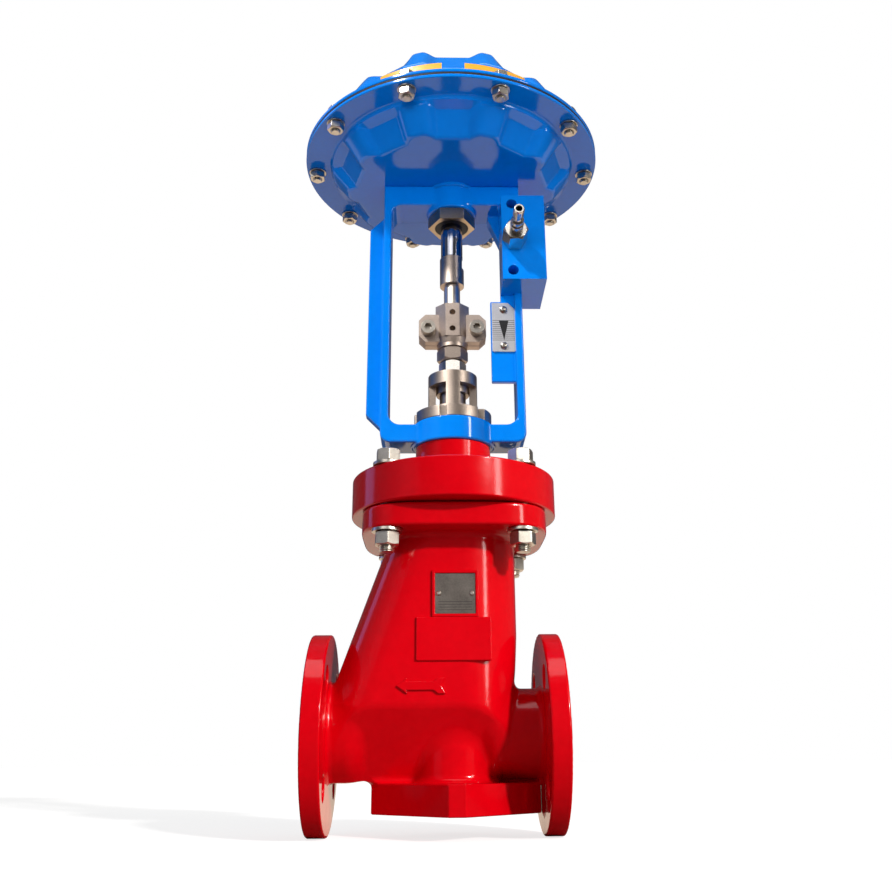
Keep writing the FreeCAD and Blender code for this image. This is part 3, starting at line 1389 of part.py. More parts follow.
def travel_scale():
    right = S.YokeWidth / 2 - S.PillarWidth
    left = right - S.ScaleWidth
    top = SCALE_LOW + S.ScaleHeight
    back = -S.YokeDepth / 2 + 4
    corner = 6
    sheet_piece = plate(
        [
            (left + 1, SCALE_LOW), (right - 1, SCALE_LOW), (right, SCALE_LOW + 1),
            (right, top - corner), (right - corner, top), (left, top), (left, SCALE_LOW + 1),
        ],
        S.ScaleThickness,
        "XZ_Plane",
        (0, back, 0),
    )
    front = back - S.ScaleThickness
    holes = [cylinder(S.ScaleScrew, S.ScaleThickness, (x, front, z), "y")
             for x, z in scale_screw_places()]
    piece("travel_scale", less(sheet_piece, *holes))
    screws = []
    for x, z in scale_screw_places():
        head = cylinder(S.ScaleScrew * 1.75, S.ScaleScrew * 0.6,
                        (x, front - S.ScaleScrew * 0.6, z), "y")
        shank = cylinder(S.ScaleScrew, S.ScaleThickness + S.ScalePadThickness, (x, front, z), "y")
        key = prism(2.5, S.ScaleScrew * 0.3, (x, front - S.ScaleScrew * 0.6, z), along="y")
        screws.append(less(joined(head, shank), key))
    piece("scale_screws", group(screws))


valve_body()
nameplate()
seat_and_plug()
bonnet()
bonnet_bolting()
packing()
yoke_ring_nut()
yoke()
stem_train()
stem_bushing()
casings()
casing_fittings()
diaphragm_set()
air_block()
quick_connector()
travel_scale()
doc.recompute()

faults = [thing.Name for thing in doc.Objects if {"Invalid", "Error"} & set(thing.State)]
for label, thing in pieces.items():
    if thing.Shape.isNull() or not thing.Shape.isValid() or not thing.Shape.Solids:
        faults.append(label)
if faults:
    raise RuntimeError(f"not sound: {faults}")

os.makedirs("parts", exist_ok=True)
for label, thing in pieces.items():
    thing.Shape.exportStep(f"parts/{label}.step")
    corners = thing.Shape.BoundBox
    print(f"{label}: {len(thing.Shape.Solids)} solid, {thing.Shape.Volume / 1000:.1f} cm3,"
          f" z {corners.ZMin:.1f} to {corners.ZMax:.1f}")
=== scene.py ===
# %% [markdown]
# # A flanged control valve with a diaphragm actuator
# The valve stands on its pipe flanges. A red casting guides the flow, a blue yoke stands on it,
# and a blue casing on top holds the diaphragm that lifts the stem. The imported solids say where
# everything is, and this lesson dresses them piece by piece. It starts by loading them as a frame.

# %% Load the frame
import json
import math

import bmesh
import bpy
import numpy as np
from mathutils import Matrix, Vector

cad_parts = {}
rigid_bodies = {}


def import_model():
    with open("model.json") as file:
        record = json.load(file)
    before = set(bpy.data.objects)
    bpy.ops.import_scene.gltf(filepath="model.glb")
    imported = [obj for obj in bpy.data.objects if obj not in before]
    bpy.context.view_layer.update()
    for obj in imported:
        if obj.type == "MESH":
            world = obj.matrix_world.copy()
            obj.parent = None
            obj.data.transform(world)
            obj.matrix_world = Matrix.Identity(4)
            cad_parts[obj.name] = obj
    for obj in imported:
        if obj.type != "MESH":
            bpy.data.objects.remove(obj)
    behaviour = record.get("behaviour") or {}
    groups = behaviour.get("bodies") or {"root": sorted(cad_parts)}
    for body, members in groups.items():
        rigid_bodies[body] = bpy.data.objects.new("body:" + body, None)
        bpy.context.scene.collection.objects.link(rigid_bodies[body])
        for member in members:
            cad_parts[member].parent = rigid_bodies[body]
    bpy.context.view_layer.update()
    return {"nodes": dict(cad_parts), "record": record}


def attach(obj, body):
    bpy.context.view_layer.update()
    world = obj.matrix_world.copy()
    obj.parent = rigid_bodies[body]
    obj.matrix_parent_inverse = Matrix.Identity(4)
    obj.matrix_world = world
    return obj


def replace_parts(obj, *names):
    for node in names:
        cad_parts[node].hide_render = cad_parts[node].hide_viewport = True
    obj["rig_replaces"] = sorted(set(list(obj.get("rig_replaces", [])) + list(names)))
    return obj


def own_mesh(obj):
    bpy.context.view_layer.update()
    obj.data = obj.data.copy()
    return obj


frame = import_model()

MM = 0.001
record = frame["record"]

# %% [markdown]
# ## The camera
# The photograph looks up at the actuator from just above the floor. Its place and its lens were
# solved from round things of known size: the flanges, the bonnet and the bolt circle. The three
# axes of the camera are built from its yaw, pitch and roll, and a small shift puts the middle of
# the lens where it was before the picture was cut square.

# %% Camera
CAMERA_PLACE = Vector((-16.1, -786.6, 52.3)) * MM
YAW, PITCH, ROLL = (math.radians(a) for a in (1.48, 19.6, -0.49))
FOCAL_PIXELS, PICTURE = 958.3, 892
LENS_MIDDLE = (457.7, 422.4)

ahead = Vector((math.sin(YAW) * math.cos(PITCH), math.cos(YAW) * math.cos(PITCH), math.sin(PITCH)))
level_right = Vector((math.cos(YAW), -math.sin(YAW), 0))
level_up = level_right.cross(ahead)
right = math.cos(ROLL) * level_right + math.sin(ROLL) * level_up
up = math.cos(ROLL) * level_up - math.sin(ROLL) * level_right

camera_data = bpy.data.cameras.new("photograph_camera")
camera_data.sensor_width = 36
camera_data.lens = FOCAL_PIXELS / PICTURE * camera_data.sensor_width
camera_data.shift_x = (PICTURE / 2 - LENS_MIDDLE[0]) / PICTURE
camera_data.shift_y = (LENS_MIDDLE[1] - PICTURE / 2) / PICTURE
camera_data.clip_start, camera_data.clip_end = 0.01, 100
camera = bpy.data.objects.new("photograph_camera", camera_data)
camera_axes = Matrix((right, up, -ahead)).transposed().to_4x4()
camera.matrix_world = Matrix.Translation(CAMERA_PLACE) @ camera_axes
bpy.context.scene.collection.objects.link(camera)
bpy.context.scene.camera = camera
shift = [round(way, 4) for way in (camera_data.shift_x, camera_data.shift_y)]
print("lens", round(camera_data.lens, 2), "mm, shift", shift)

# %% [markdown]
# ## Building material nodes with plain sums
# A material or a Geometry Nodes tree is a set of boxes and wires. Most of the boxes do sums, so
# the small class below lets a wire be added, multiplied or compared in Python, and each sum puts
# one Math node in the tree. The same class serves shaders and geometry.

# %% Wires that can be added and multiplied
class Wire:
    """An output socket of a node tree. A sum of two wires adds a Math node to the tree."""

    def __init__(self, tree, socket):
        self.tree, self.socket = tree, socket

    def sum(self, operation, *others, clamp=False):
        maths = self.tree.nodes.new("ShaderNodeMath")
        maths.operation, maths.use_clamp = operation, clamp
        for slot, value in zip(maths.inputs, (self, *others)):
            feed(self.tree, slot, value)
        return Wire(self.tree, maths.outputs[0])

    def __add__(self, other):
        return self.sum("ADD", other)

    def __sub__(self, other):
        return self.sum("SUBTRACT", other)

    def __mul__(self, other):
        return self.sum("MULTIPLY", other)

    def __truediv__(self, other):
        return self.sum("DIVIDE", other)


def feed(tree, slot, value):
    """Wires a value into an input, or sets the input where the value is plain."""
    if isinstance(value, Wire):
        tree.links.new(value.socket, slot)
    elif value is not None:
        slot.default_value = value


def spaced(key):
    """A socket's name from a Python word: First_Angle is First Angle."""
    return key.replace("_", " ")


def add(tree, kind, output=0, settings=None, **inputs):
    """One node, its settings and inputs; i0 is its first input. Gives back the wire of one output."""
    made = tree.nodes.new(kind)
    for key, value in (settings or {}).items():
        setattr(made, key, value)
    for key, value in inputs.items():
        feed(tree, made.inputs[spaced(key) if spaced(key) in made.inputs else int(key[1:])], value)
    return Wire(tree, made.outputs[output])


def sockets(tree, direction, **wanted):
    """Named inputs or outputs of a node group: name=(kind, default)."""
    for name, (kind, default) in wanted.items():
        made = tree.interface.new_socket(
            name=spaced(name), in_out=direction, socket_type="NodeSocket" + kind)
        if default is not None:
            made.default_value = default


trial = bpy.data.node_groups.new("trial", "ShaderNodeTree")
trial_sum = (add(trial, "ShaderNodeValue") + 1.0) * 2.0
print("a trial sum has", len(trial.nodes), "nodes and ends in", trial_sum.socket.node.operation)
bpy.data.node_groups.remove(trial)

# %% [markdown]
# ## Casting skins from distances
# The valve body and the yoke are castings: every inner corner is a fillet and every outer edge is
# rounded under a thick coat of paint. They could be modelled with subdivision surfaces, but here
# each one is written as a distance: how far a point is from the surface, negative inside. Two
# distances join with a fillet of a given radius, or cross with a rounded edge, as real castings do.

# %% Distances of simple forms
def disc_along(across, up_or_down, along, radius, low, high, edge):
    """Distance to a round bar between two ends, with rounded rims; sizes in millimetres."""
    outward = np.hypot(across, up_or_down) - (radius - edge)
    endward = np.abs(along - (low + high) / 2) - ((high - low) / 2 - edge)
    outside = np.hypot(np.maximum(outward, 0), np.maximum(endward, 0))
    return outside + np.minimum(np.maximum(outward, endward), 0) - edge


def upright(x, z, half, low, high, corner):
    """Distance to a tall rectangle in the plane of the front, with rounded corners."""
    middle = (low + high) / 2
    aside = np.abs(x) - (half - corner)
    beyond = np.abs(z - middle) - ((high - low) / 2 - corner)
    outside = np.hypot(np.maximum(aside, 0), np.maximum(beyond, 0))
    return outside + np.minimum(np.maximum(aside, beyond), 0) - corner


def outline(u, v, points):
    """Distance to a closed outline in a plane, from its corners."""
    nearest, inside = np.inf, -1.0
    for (au, av), (bu, bv) in zip(points, points[1:] + points[:1]):
        du, dv = bu - au, bv - av
        share = np.clip(((u - au) * du + (v - av) * dv) / (du * du + dv * dv), 0, 1)
        nearest = np.minimum(nearest, np.hypot(u - au - share * du, v - av - share * dv))
        crosses = (av > v) != (bv > v)
        at_left = u < au + du * (v - av) / (dv if dv else 1e-9)
        inside = np.where(crosses & at_left, -inside, inside)
    return nearest * -inside


def meet(a, b, radius):
    """Both forms at once, where their faces meet in an edge rounded to a radius."""
    outside = np.hypot(np.maximum(a + radius, 0), np.maximum(b + radius, 0))
    return np.minimum(np.maximum(a, b), -radius) + outside


def grow(a, b, radius):
    """Either form, with a fillet of that radius in the corner between them."""
    inside = np.hypot(np.maximum(radius - a, 0), np.maximum(radius - b, 0))
    return np.maximum(np.minimum(a, b), radius) - inside


def drill(a, b, radius):
    """The first form with the second taken out, its rim rounded to a radius."""
    return meet(a, -b, radius)


print("15 mm off the axis of a 10 mm bar:", disc_along(15.0, 0.0, 0.0, 10, -50, 50, 1), "mm")

# %% [markdown]
# ## From a distance to a mesh
# The distance is measured on a grid. Every grid edge that crosses the surface gives one face, and
# every grid cell on the surface gives one corner, which is then slid along the slope of the
# distance until it lies exactly on the surface. Flat parts need few triangles, so the mesh is
# thinned, and each corner keeps the true slope as its normal, which keeps the paint smooth.

# %% The mesher
def slope(shape, points, step):
    """Distance and its slope at points, by small steps each way."""
    ways = np.eye(3) * step
    pull = np.stack([shape(*(points + way).T) - shape(*(points - way).T) for way in ways], 1) / (2 * step)
    return shape(*points.T), pull


def settle(shape, points, step, rounds=4):
    """Slides points along the slope until they lie on the surface."""
    for _ in range(rounds):
        distance, pull = slope(shape, points, step)
        move = (distance / np.maximum((pull ** 2).sum(1), 0.3))[:, None] * pull
        points = points - np.clip(move, -step * 6, step * 6)
    return points


SLICES = 12


def skin(shape, low, high, cell):
    """Corners and four-sided faces of the surface where a distance is zero."""
    axes = [np.arange(a - cell, b + 2 * cell, cell, dtype=np.float32) for a, b in zip(low, high)]
    x, y, z = np.ix_(*axes)
    slabs = [shape(x[k:k + SLICES], y, z) for k in range(0, len(x), SLICES)]
    value = np.concatenate(slabs).astype(np.float32)
    size = value.shape
    owners, places = [], []
    for axis in range(3):
        near = value[tuple(slice(0, -1) if i == axis else slice(None) for i in range(3))]
        far = value[tuple(slice(1, None) if i == axis else slice(None) for i in range(3))]
        at = np.argwhere((near < 0) != (far < 0))
        a, b = near[tuple(at.T)], far[tuple(at.T)]
        place = at.astype(float)
        place[:, axis] += a / (a - b)
        first, second = np.eye(3, dtype=int)[(axis + 1) % 3], np.eye(3, dtype=int)[(axis + 2) % 3]
        ring = np.stack([at, at - first, at - first - second, at - second], 1)
        ring[a > 0] = ring[a > 0][:, ::-1]
        owners.append(ring @ np.array([size[1] * size[2], size[2], 1]))
        places.append(np.repeat(place[:, None], 4, 1))
    owners, places = np.concatenate(owners), np.concatenate(places).reshape(-1, 3)
    faces = np.unique(owners, return_inverse=True)[1].reshape(-1, 4)
    shared = np.bincount(faces.ravel())
    corners = np.stack([np.bincount(faces.ravel(), places[:, i]) / shared for i in range(3)], 1)
    corners = corners * cell + np.array([axis[0] for axis in axes])
    return settle(shape, corners, cell * 0.1), faces


def mesh_of(name, corners, faces):
    """A mesh from arrays in millimetres; the faces all have the same number of corners."""
    corners, faces = np.asarray(corners, float) * MM, np.asarray(faces)
    mesh = bpy.data.meshes.new(name)
    mesh.vertices.add(len(corners))
    mesh.vertices.foreach_set("co", corners.ravel())
    mesh.loops.add(faces.size)
    mesh.loops.foreach_set("vertex_index", faces.ravel())
    mesh.polygons.add(len(faces))
    mesh.polygons.foreach_set("loop_start", np.arange(0, faces.size, faces.shape[1]))
    mesh.update(calc_edges=True)
    mesh.validate()
    return mesh


def shown(name, mesh):
    """A new object in the scene, at the origin."""
    piece = bpy.data.objects.new(name, mesh)
    bpy.context.scene.collection.objects.link(piece)
    return piece


def settled_mesh(piece):
    """Applies the modifiers of a piece and takes them off."""
    done = bpy.data.meshes.new_from_object(piece.evaluated_get(bpy.context.evaluated_depsgraph_get()))
    piece.modifiers.clear()
    piece.data = done
    return piece


def casting(name, shape, low, high, cell, share):
    """A casting's mesh from its distance, thinned to a share of its faces."""
    cell = cell * 1
    piece = shown(name, mesh_of(name, *skin(shape, low, high, cell)))
    thin = piece.modifiers.new("thin", "DECIMATE")
    thin.ratio = share
    settled_mesh(piece)
    count = len(piece.data.vertices)
    corners = np.empty(count * 3)
    piece.data.vertices.foreach_get("co", corners)
    _, pull = slope(shape, corners.reshape(-1, 3) / MM, cell * 0.1)
    pull /= np.maximum(np.linalg.norm(pull, axis=1), 1e-9)[:, None]
    piece.data.polygons.foreach_set("use_smooth", np.ones(len(piece.data.polygons), bool))
    piece.data.normals_split_custom_set_from_vertices(pull.tolist())
    print(name, count, "corners,", len(piece.data.polygons), "faces")
    return piece

# %% [markdown]
# ## The valve body
# The body is one iron casting. Its trunk is a slab with round sides: seen from the front it leans
# to the left, where the flow leaves, and seen from the side it narrows into a belly. Two necks
# carry the pipe flanges, a boss under the seat stands on a turned square base, and a square
# flange on top takes the bonnet. All of these are distances joined with fillets.

# %% Valve body: the trunk and what grows out of it
PIPE, NECK, TRUNK_HALF, ROUND_FROM, BOSS_RADIUS = 75, 33, 46, 5.6, 32
FLOW_BORE, MOUTH, KNEE, UNDER_SEAT, SEAT_BORE, CHAMBER, SPIGOT = 18.5, 20, 78.2, 24, 25, 36, 42
FLANGE_REACH = {"inlet": (67, 82, 85), "outlet": (-97, -112, -115)}
RIM, RAISED_FACE, BOLT_HOLE, HOLE_ASIDE = 75, 44, 9.1, 38.89
STUD_ASIDE, STUD_HOLE, NUT_SEAT = 53.03, 6.75, 12.7
SLANT = math.atan2(0.5637, 0.826)
LEAN = [(-99, -60), (-99, 97), (-52.6, 226), (-52.6, 330), (330, 330), (330, -60)]
RIGHT_SIDE = [(-330, 330), (51.6, 330), (51.6, 148), (48.6, 121), (45.2, 101), (41.4, 78), (38.9, 60),
              (31, 47), (20, 38), (-330, 38)]
BELLY = [(-9.5, 40.3), (9.5, 40.3), (86, 151.5), (86, 400), (-86, 400), (-86, 151.5)]


def trunk_of_body(x, y, z):
    round_end = np.where(x > ROUND_FROM, np.hypot(x - ROUND_FROM, y), np.abs(y)) - TRUNK_HALF
    slab = meet(outline(x, z, LEAN), round_end, 38)
    slab = meet(slab, outline(x, z, RIGHT_SIDE), 6)
    return meet(slab, outline(y, z, BELLY), 2)


def flow_way(x, y, z):
    """The hollow that the flow takes, from the inlet under the seat to the sloping outlet way."""
    h = z - PIPE
    from_knee = x + KNEE
    across = from_knee * math.cos(SLANT) - h * math.sin(SLANT)
    along = from_knee * math.sin(SLANT) + h * math.cos(SLANT)
    ways = [
        disc_along(y, h, x, MOUTH, 55, 90, 0), disc_along(y, h, x, FLOW_BORE, 0, 90, 0),
        disc_along(x, y, z, UNDER_SEAT, 47, 95, 0), disc_along(x, y, z, SEAT_BORE, 94, 110, 0),
        disc_along(x, y, z, CHAMBER, 109, 250, 0), disc_along(x, y, z, SPIGOT, 233.4, 250, 0),
        disc_along(y, h, x, MOUTH, -120, -90, 0), disc_along(y, h, x, FLOW_BORE, -120, -78, 0),
        np.sqrt(from_knee ** 2 + y ** 2 + h ** 2) - FLOW_BORE,
        disc_along(across, y, along, FLOW_BORE, 0, 99, 0),
    ]
    hollow = ways[0]
    for way in ways[1:]:
        hollow = np.minimum(hollow, way)
    return hollow


def square_base(x, y, z):
    """The base: a square turned by 45 degrees, its corners cut off."""
    turned_square = (np.abs(x) + np.abs(y)) * math.sqrt(0.5) - 47.7
    cut_corners = np.maximum(np.abs(x), np.abs(y)) - 62
    return np.maximum(np.maximum(turned_square, cut_corners), np.abs(z - 27.5) - 9) - 2


def lid_flange(x, y, z, wide=75, deep=70, squareness=3.8):
    """The top flange: a square with bulging sides and round corners, which is a superellipse."""
    reach = (np.abs(x) / wide) ** squareness + (np.abs(y) / deep) ** squareness
    return meet((reach ** (1 / squareness) - 1) * deep, np.abs(z - 234.2) - 9.2, 2.2)


def body_form(x, y, z):
    h = z - PIPE
    form = trunk_of_body(x, y, z)
    form = grow(form, disc_along(y, h, x, NECK, -110, -74, 10), 9)
    form = grow(form, disc_along(y, h, x, NECK, 24, 80, 8), 7)
    form = grow(form, disc_along(x, y, z, BOSS_RADIUS, 18, 93, 1), 4)
    form = grow(form, square_base(x, y, z), 6)
    for inner, rim, face in FLANGE_REACH.values():
        flange = disc_along(y, h, x, RIM, min(inner, rim), max(inner, rim), 1.3)
        raised = disc_along(y, h, x, RAISED_FACE, min(inner, face), max(inner, face), 0.8)
        form = grow(form, np.minimum(flange, raised), 5)
    form = grow(form, lid_flange(x, y, z), 5)
    for side_x in (-1, 1):
        for side_y in (-1, 1):
            u, v = x - side_x * STUD_ASIDE, y - side_y * STUD_ASIDE
            form = drill(form, disc_along(u, v, z, NUT_SEAT, 203, 225.2, 0), 0.8)
            form = drill(form, disc_along(u, v, z, STUD_HOLE, 203, 250, 0), 0.5)
            hole = np.hypot(y - side_y * HOLE_ASIDE, h - side_x * HOLE_ASIDE) - BOLT_HOLE
            for middle in (76, -106):
                form = drill(form, np.maximum(hole, np.abs(x - middle) - 14), 1)
    return drill(form, flow_way(x, y, z), 0.8)


valve_body = casting("body_casting", body_form, (-116, -76, -1), (86, 76, 244), cell=1.55, share=0.62)

# %% [markdown]
# ## The yoke's casting
# The yoke is one casting too: a window frame whose pillars are thin from the front and deep from
# the side, a round hub that sits on the bonnet, a boss that holds the stem bushing, a rib on the
# left, a lug behind the travel scale and a gusset in the corner behind the air block. It is
# narrow, so its grid is finer than the body's.

# %% Yoke
HUB, HUB_TOP, SILL, BOSS, CROSSBAR, YOKE_TOP = 307.1, 327.5, 325.1, 536.6, 541.1, 561.1
PILLAR_OUT, PILLAR_IN, YOKE_DEEP = 62.5, 55.5, 17
RIB = [(-58, 324), (-62.5, 324.5), (-75.5, 337.5), (-75.5, 520.1), (-62.5, 533), (-58, 533)]
LUG = [(34.1, 365.5), (61.5, 365.5), (61.5, 542), (43.5, 542), (43.5, 443), (34.1, 443)]
GUSSET = [(34.5, 543), (34.5, 537.1), (45.5, 511.1), (57, 505.1), (57, 543)]


def yoke_form(x, y, z):
    frame_front = upright(x, z, PILLAR_OUT, HUB + 2, YOKE_TOP + 30, 9)
    form = meet(np.maximum(frame_front, z - YOKE_TOP), np.abs(y) - YOKE_DEEP, 1.6)
    form = drill(form, upright(x, z, PILLAR_IN, SILL, CROSSBAR, 10), 1.6)
    form = grow(form, disc_along(x, y, z, 34.5, HUB, HUB_TOP, 1.6), 2.5)
    form = grow(form, disc_along(x, y, z, 22.5, BOSS, YOKE_TOP, 1.4), 2.5)
    form = grow(form, meet(outline(x, z, RIB), np.abs(y) - 6, 1.4), 2)
    form = grow(form, meet(outline(x, z, LUG), np.abs(y + 10) - 3, 1.1), 1.5)
    form = grow(form, meet(outline(x, z, GUSSET), np.abs(y - 10.2) - 6.8, 1.1), 1.5)
    form = np.minimum(form, disc_along(x, y, z, 24, YOKE_TOP - 3, YOKE_TOP + 3.2, 0.4))
    form = drill(form, disc_along(x, y, z, 24, HUB - 5, HUB_TOP + 5, 0), 0.6)
    return drill(form, disc_along(x, y, z, 16, BOSS - 5, BOSS + 18, 0), 0.6)


yoke = casting("yoke_casting", yoke_form, (-77, -36, 306), (64, 36, 566), cell=1.15, share=0.6)

# %% [markdown]
# ## Finishes
# Gloss enamel covers the castings and the casing: it hides the iron's grain but keeps a faint
# orange peel. Bare parts are stainless steel, turned, ground or polished. Effects that several
# finishes share are node groups: `unevenness` gives slow and fast variation, and `lathe_marks`
# gives the fine rings that a turning tool leaves.

# %% Shared effects
def group(name, inputs, outputs, build):
    """A shader node group with inputs name=default and outputs that are all single values."""
    tree = bpy.data.node_groups.new(name, "ShaderNodeTree")
    sockets(tree, "INPUT", **{key: ("Float", default) for key, default in inputs.items()})
    sockets(tree, "OUTPUT", **{key: ("Float", None) for key in outputs})
    enter, leave = tree.nodes.new("NodeGroupInput"), tree.nodes.new("NodeGroupOutput")
    build(tree, {key: Wire(tree, enter.outputs[spaced(key)]) for key in inputs},
          lambda key, wire: tree.links.new(wire.socket, leave.inputs[key]))
    print("group", name, "with", len(tree.nodes), "nodes")
    return tree


def place(tree):
    """Object coordinates, in metres."""
    return add(tree, "ShaderNodeTexCoord", "Object")


def noise(tree, vector, scale, detail, roughness):
    return add(tree, "ShaderNodeTexNoise", Vector=vector, Scale=scale, Detail=detail, Roughness=roughness)


def between(tree, wire, low, high, to_low=0.0, to_high=1.0):
    """A wire's range from low to high, spread over another range and held inside it."""
    return add(tree, "ShaderNodeMapRange", Value=wire, From_Min=low, From_Max=high,
               To_Min=to_low, To_Max=to_high)


def build_unevenness(tree, take, give):
    slow = noise(tree, place(tree), take["Patches"], 3.0, 0.55)
    fast = noise(tree, place(tree), take["Grain"], 2.0, 0.6)
    give("Slow", between(tree, slow, 0.3, 0.7))
    give("Fast", between(tree, fast, 0.25, 0.75))
    give("Both", between(tree, slow * 0.65 + fast * 0.35, 0.3, 0.7))


unevenness = group("unevenness", {"Patches": 12.0, "Grain": 400.0}, ("Slow", "Fast", "Both"),
                   build_unevenness)


def build_lathe_marks(tree, take, give):
    across = add(tree, "ShaderNodeCombineXYZ", X=take["Along_X"], Y=take["Along_Y"], Z=take["Along_Z"])
    squeezed = add(tree, "ShaderNodeVectorMath", 0, {"operation": "MULTIPLY"}, i0=place(tree), i1=across)
    give("Rings", between(tree, noise(tree, squeezed, 1.0, 3.0, 0.7), 0.3, 0.7))


lathe_marks = group("lathe_marks", {"Along_X": 40.0, "Along_Y": 40.0, "Along_Z": 2500.0}, ("Rings",),
                    build_lathe_marks)


def use(tree, effect, output, **inputs):
    """One of the shared effects inside a material."""
    made = tree.nodes.new("ShaderNodeGroup")
    made.node_tree = effect
    for key, value in inputs.items():
        feed(tree, made.inputs[spaced(key)], value)
    return Wire(tree, made.outputs[output])


def finish(name, **constants):
    """A new material with its Principled BSDF; constants are set on the shader's own sockets."""
    made = bpy.data.materials.new(name)
    made.use_nodes = True
    tree = made.node_tree
    shader = tree.nodes["Principled BSDF"]
    for key, value in constants.items():
        shader.inputs[spaced(key)].default_value = value
    return made, tree, shader


def mix_colours(tree, share, first, second):
    """Two colours mixed; inputs 6 and 7 and output 2 are the Mix node's colour sockets."""
    return add(tree, "ShaderNodeMix", 2, {"data_type": "RGBA"}, i0=share, i6=first, i7=second)


def bumped(tree, shader, height, depth_mm):
    """Height as a bump of a real depth, in millimetres."""
    bump = add(tree, "ShaderNodeBump", Strength=1.0, Distance=depth_mm * MM, Height=height)
    feed(tree, shader.inputs["Normal"], bump)


def srgb(red, green, blue):
    """A colour as it looks on screen, 0 to 255, as the shader needs it."""
    return tuple(c / 12.92 if c <= 0.04045 else ((c + 0.055) / 1.055) ** 2.4
                 for c in (v / 255 for v in (red, green, blue))) + (1.0,)


print("middle grey on screen is", round(srgb(128, 128, 128)[0], 3), "in the shader")

# %% [markdown]
# ## Gloss enamel
# The paint was sprayed thick over raw castings. It is smooth and shiny with a soft orange peel a
# few millimetres wide, and its colour is a touch deeper in slow patches. The pigment is strong,
# so the specular level is kept low and the highlights stay small and clear.

# %% Enamel
def enamel(name, light, deep, peel, rough, gloss):
    """Paint between two shades; peel is the depth of its orange peel, in millimetres."""
    made, tree, shader = finish(name, Specular_IOR_Level=gloss)
    shade = use(tree, unevenness, "Both", Patches=9.0, Grain=160.0)
    feed(tree, shader.inputs["Base Color"], mix_colours(tree, shade, srgb(*light), srgb(*deep)))
    patches = use(tree, unevenness, "Slow", Patches=25.0, Grain=300.0)
    feed(tree, shader.inputs["Roughness"], between(tree, patches, 0.0, 1.0, rough, rough + 0.07))
    orange_peel = noise(tree, place(tree), 260.0, 1.0, 0.4) + noise(tree, place(tree), 60.0, 1.0, 0.4) * 1.5
    bumped(tree, shader, orange_peel, peel)
    return made


body_red = enamel("red_enamel", (218, 0, 16), (198, 0, 12), peel=0.03, rough=0.09, gloss=0.35)
yoke_blue = enamel("blue_enamel", (0, 131, 238), (0, 121, 226), peel=0.01, rough=0.06, gloss=0.6)
print("enamels:", body_red.name, yoke_blue.name)

# %% [markdown]
# ## Bare metals
# Every bare part is a metal, so its colour is the colour of its reflections. What tells them
# apart is how they were cut: turned parts have rings round their axis, plates and milled blocks
# have fine straight lines, and screws are evenly grained. How fast the marks change along X, Y and
# Z says which: quick along Z only gives rings round the stem.

# %% Steels
TURNED, MILLED, EVEN_GRAIN = (40.0, 40.0, 2500.0), (1500.0, 300.0, 300.0), (700.0, 700.0, 700.0)
FINE_TURNED, BRUSHED, FINE_BRUSHED = (20.0, 20.0, 3500.0), (30.0, 300.0, 2600.0), (30.0, 300.0, 3200.0)


def steel(name, colour, darker, rough, rougher, marks=TURNED, depth=0.004):
    """A bare metal between two colours and two roughnesses; depth is in millimetres."""
    made, tree, shader = finish(name, Metallic=1.0)
    rings = use(tree, lathe_marks, "Rings", Along_X=marks[0], Along_Y=marks[1], Along_Z=marks[2])
    both = use(tree, unevenness, "Both", Patches=60.0, Grain=900.0)
    feed(tree, shader.inputs["Base Color"], mix_colours(tree, both, srgb(*colour), srgb(*darker)))
    worn = rings * 0.6 + both * 0.4
    feed(tree, shader.inputs["Roughness"], between(tree, worn, 0.0, 1.0, rough, rougher))
    bumped(tree, shader, rings, depth)
    return made


trim_steel = steel("seat_steel", (190, 186, 178), (150, 146, 140), 0.2, 0.4)
bush_bronze = steel("bush_bronze", (196, 150, 90), (160, 116, 64), 0.25, 0.45)
stainless = steel("stainless_fasteners", (224, 217, 206), (186, 178, 165), 0.26, 0.42, EVEN_GRAIN)
spring_steel = steel("spring_steel", (120, 122, 126), (86, 88, 92), 0.3, 0.5)
gland_steel = steel("gland_steel", (206, 190, 176), (170, 154, 142), 0.32, 0.46)
bright_steel = steel("bright_steel", (234, 230, 224), (204, 198, 190), 0.14, 0.28)
coupling_steel = steel("coupling_steel", (206, 190, 178), (174, 158, 146), 0.46, 0.58, MILLED, 0.006)
sleeve_steel = steel("sleeve_steel", (216, 200, 186), (178, 162, 150), 0.34, 0.48)
bushing_steel = steel("bushing_steel", (206, 186, 160), (166, 146, 122), 0.24, 0.4)
dark_steel = steel("dark_steel", (62, 60, 60), (34, 33, 34), 0.3, 0.5)
scale_steel = steel("scale_plate", (232, 232, 234), (204, 204, 208), 0.4, 0.52, BRUSHED, 0.003)
nameplate_steel = steel("nameplate", (150, 142, 134), (104, 97, 92), 0.3, 0.46, FINE_BRUSHED)
polished_stem = steel("polished_stem", (176, 180, 192), (140, 144, 158), 0.05, 0.12, FINE_TURNED, 0.002)
print("bare metals from", trim_steel.name, "to", polished_stem.name)
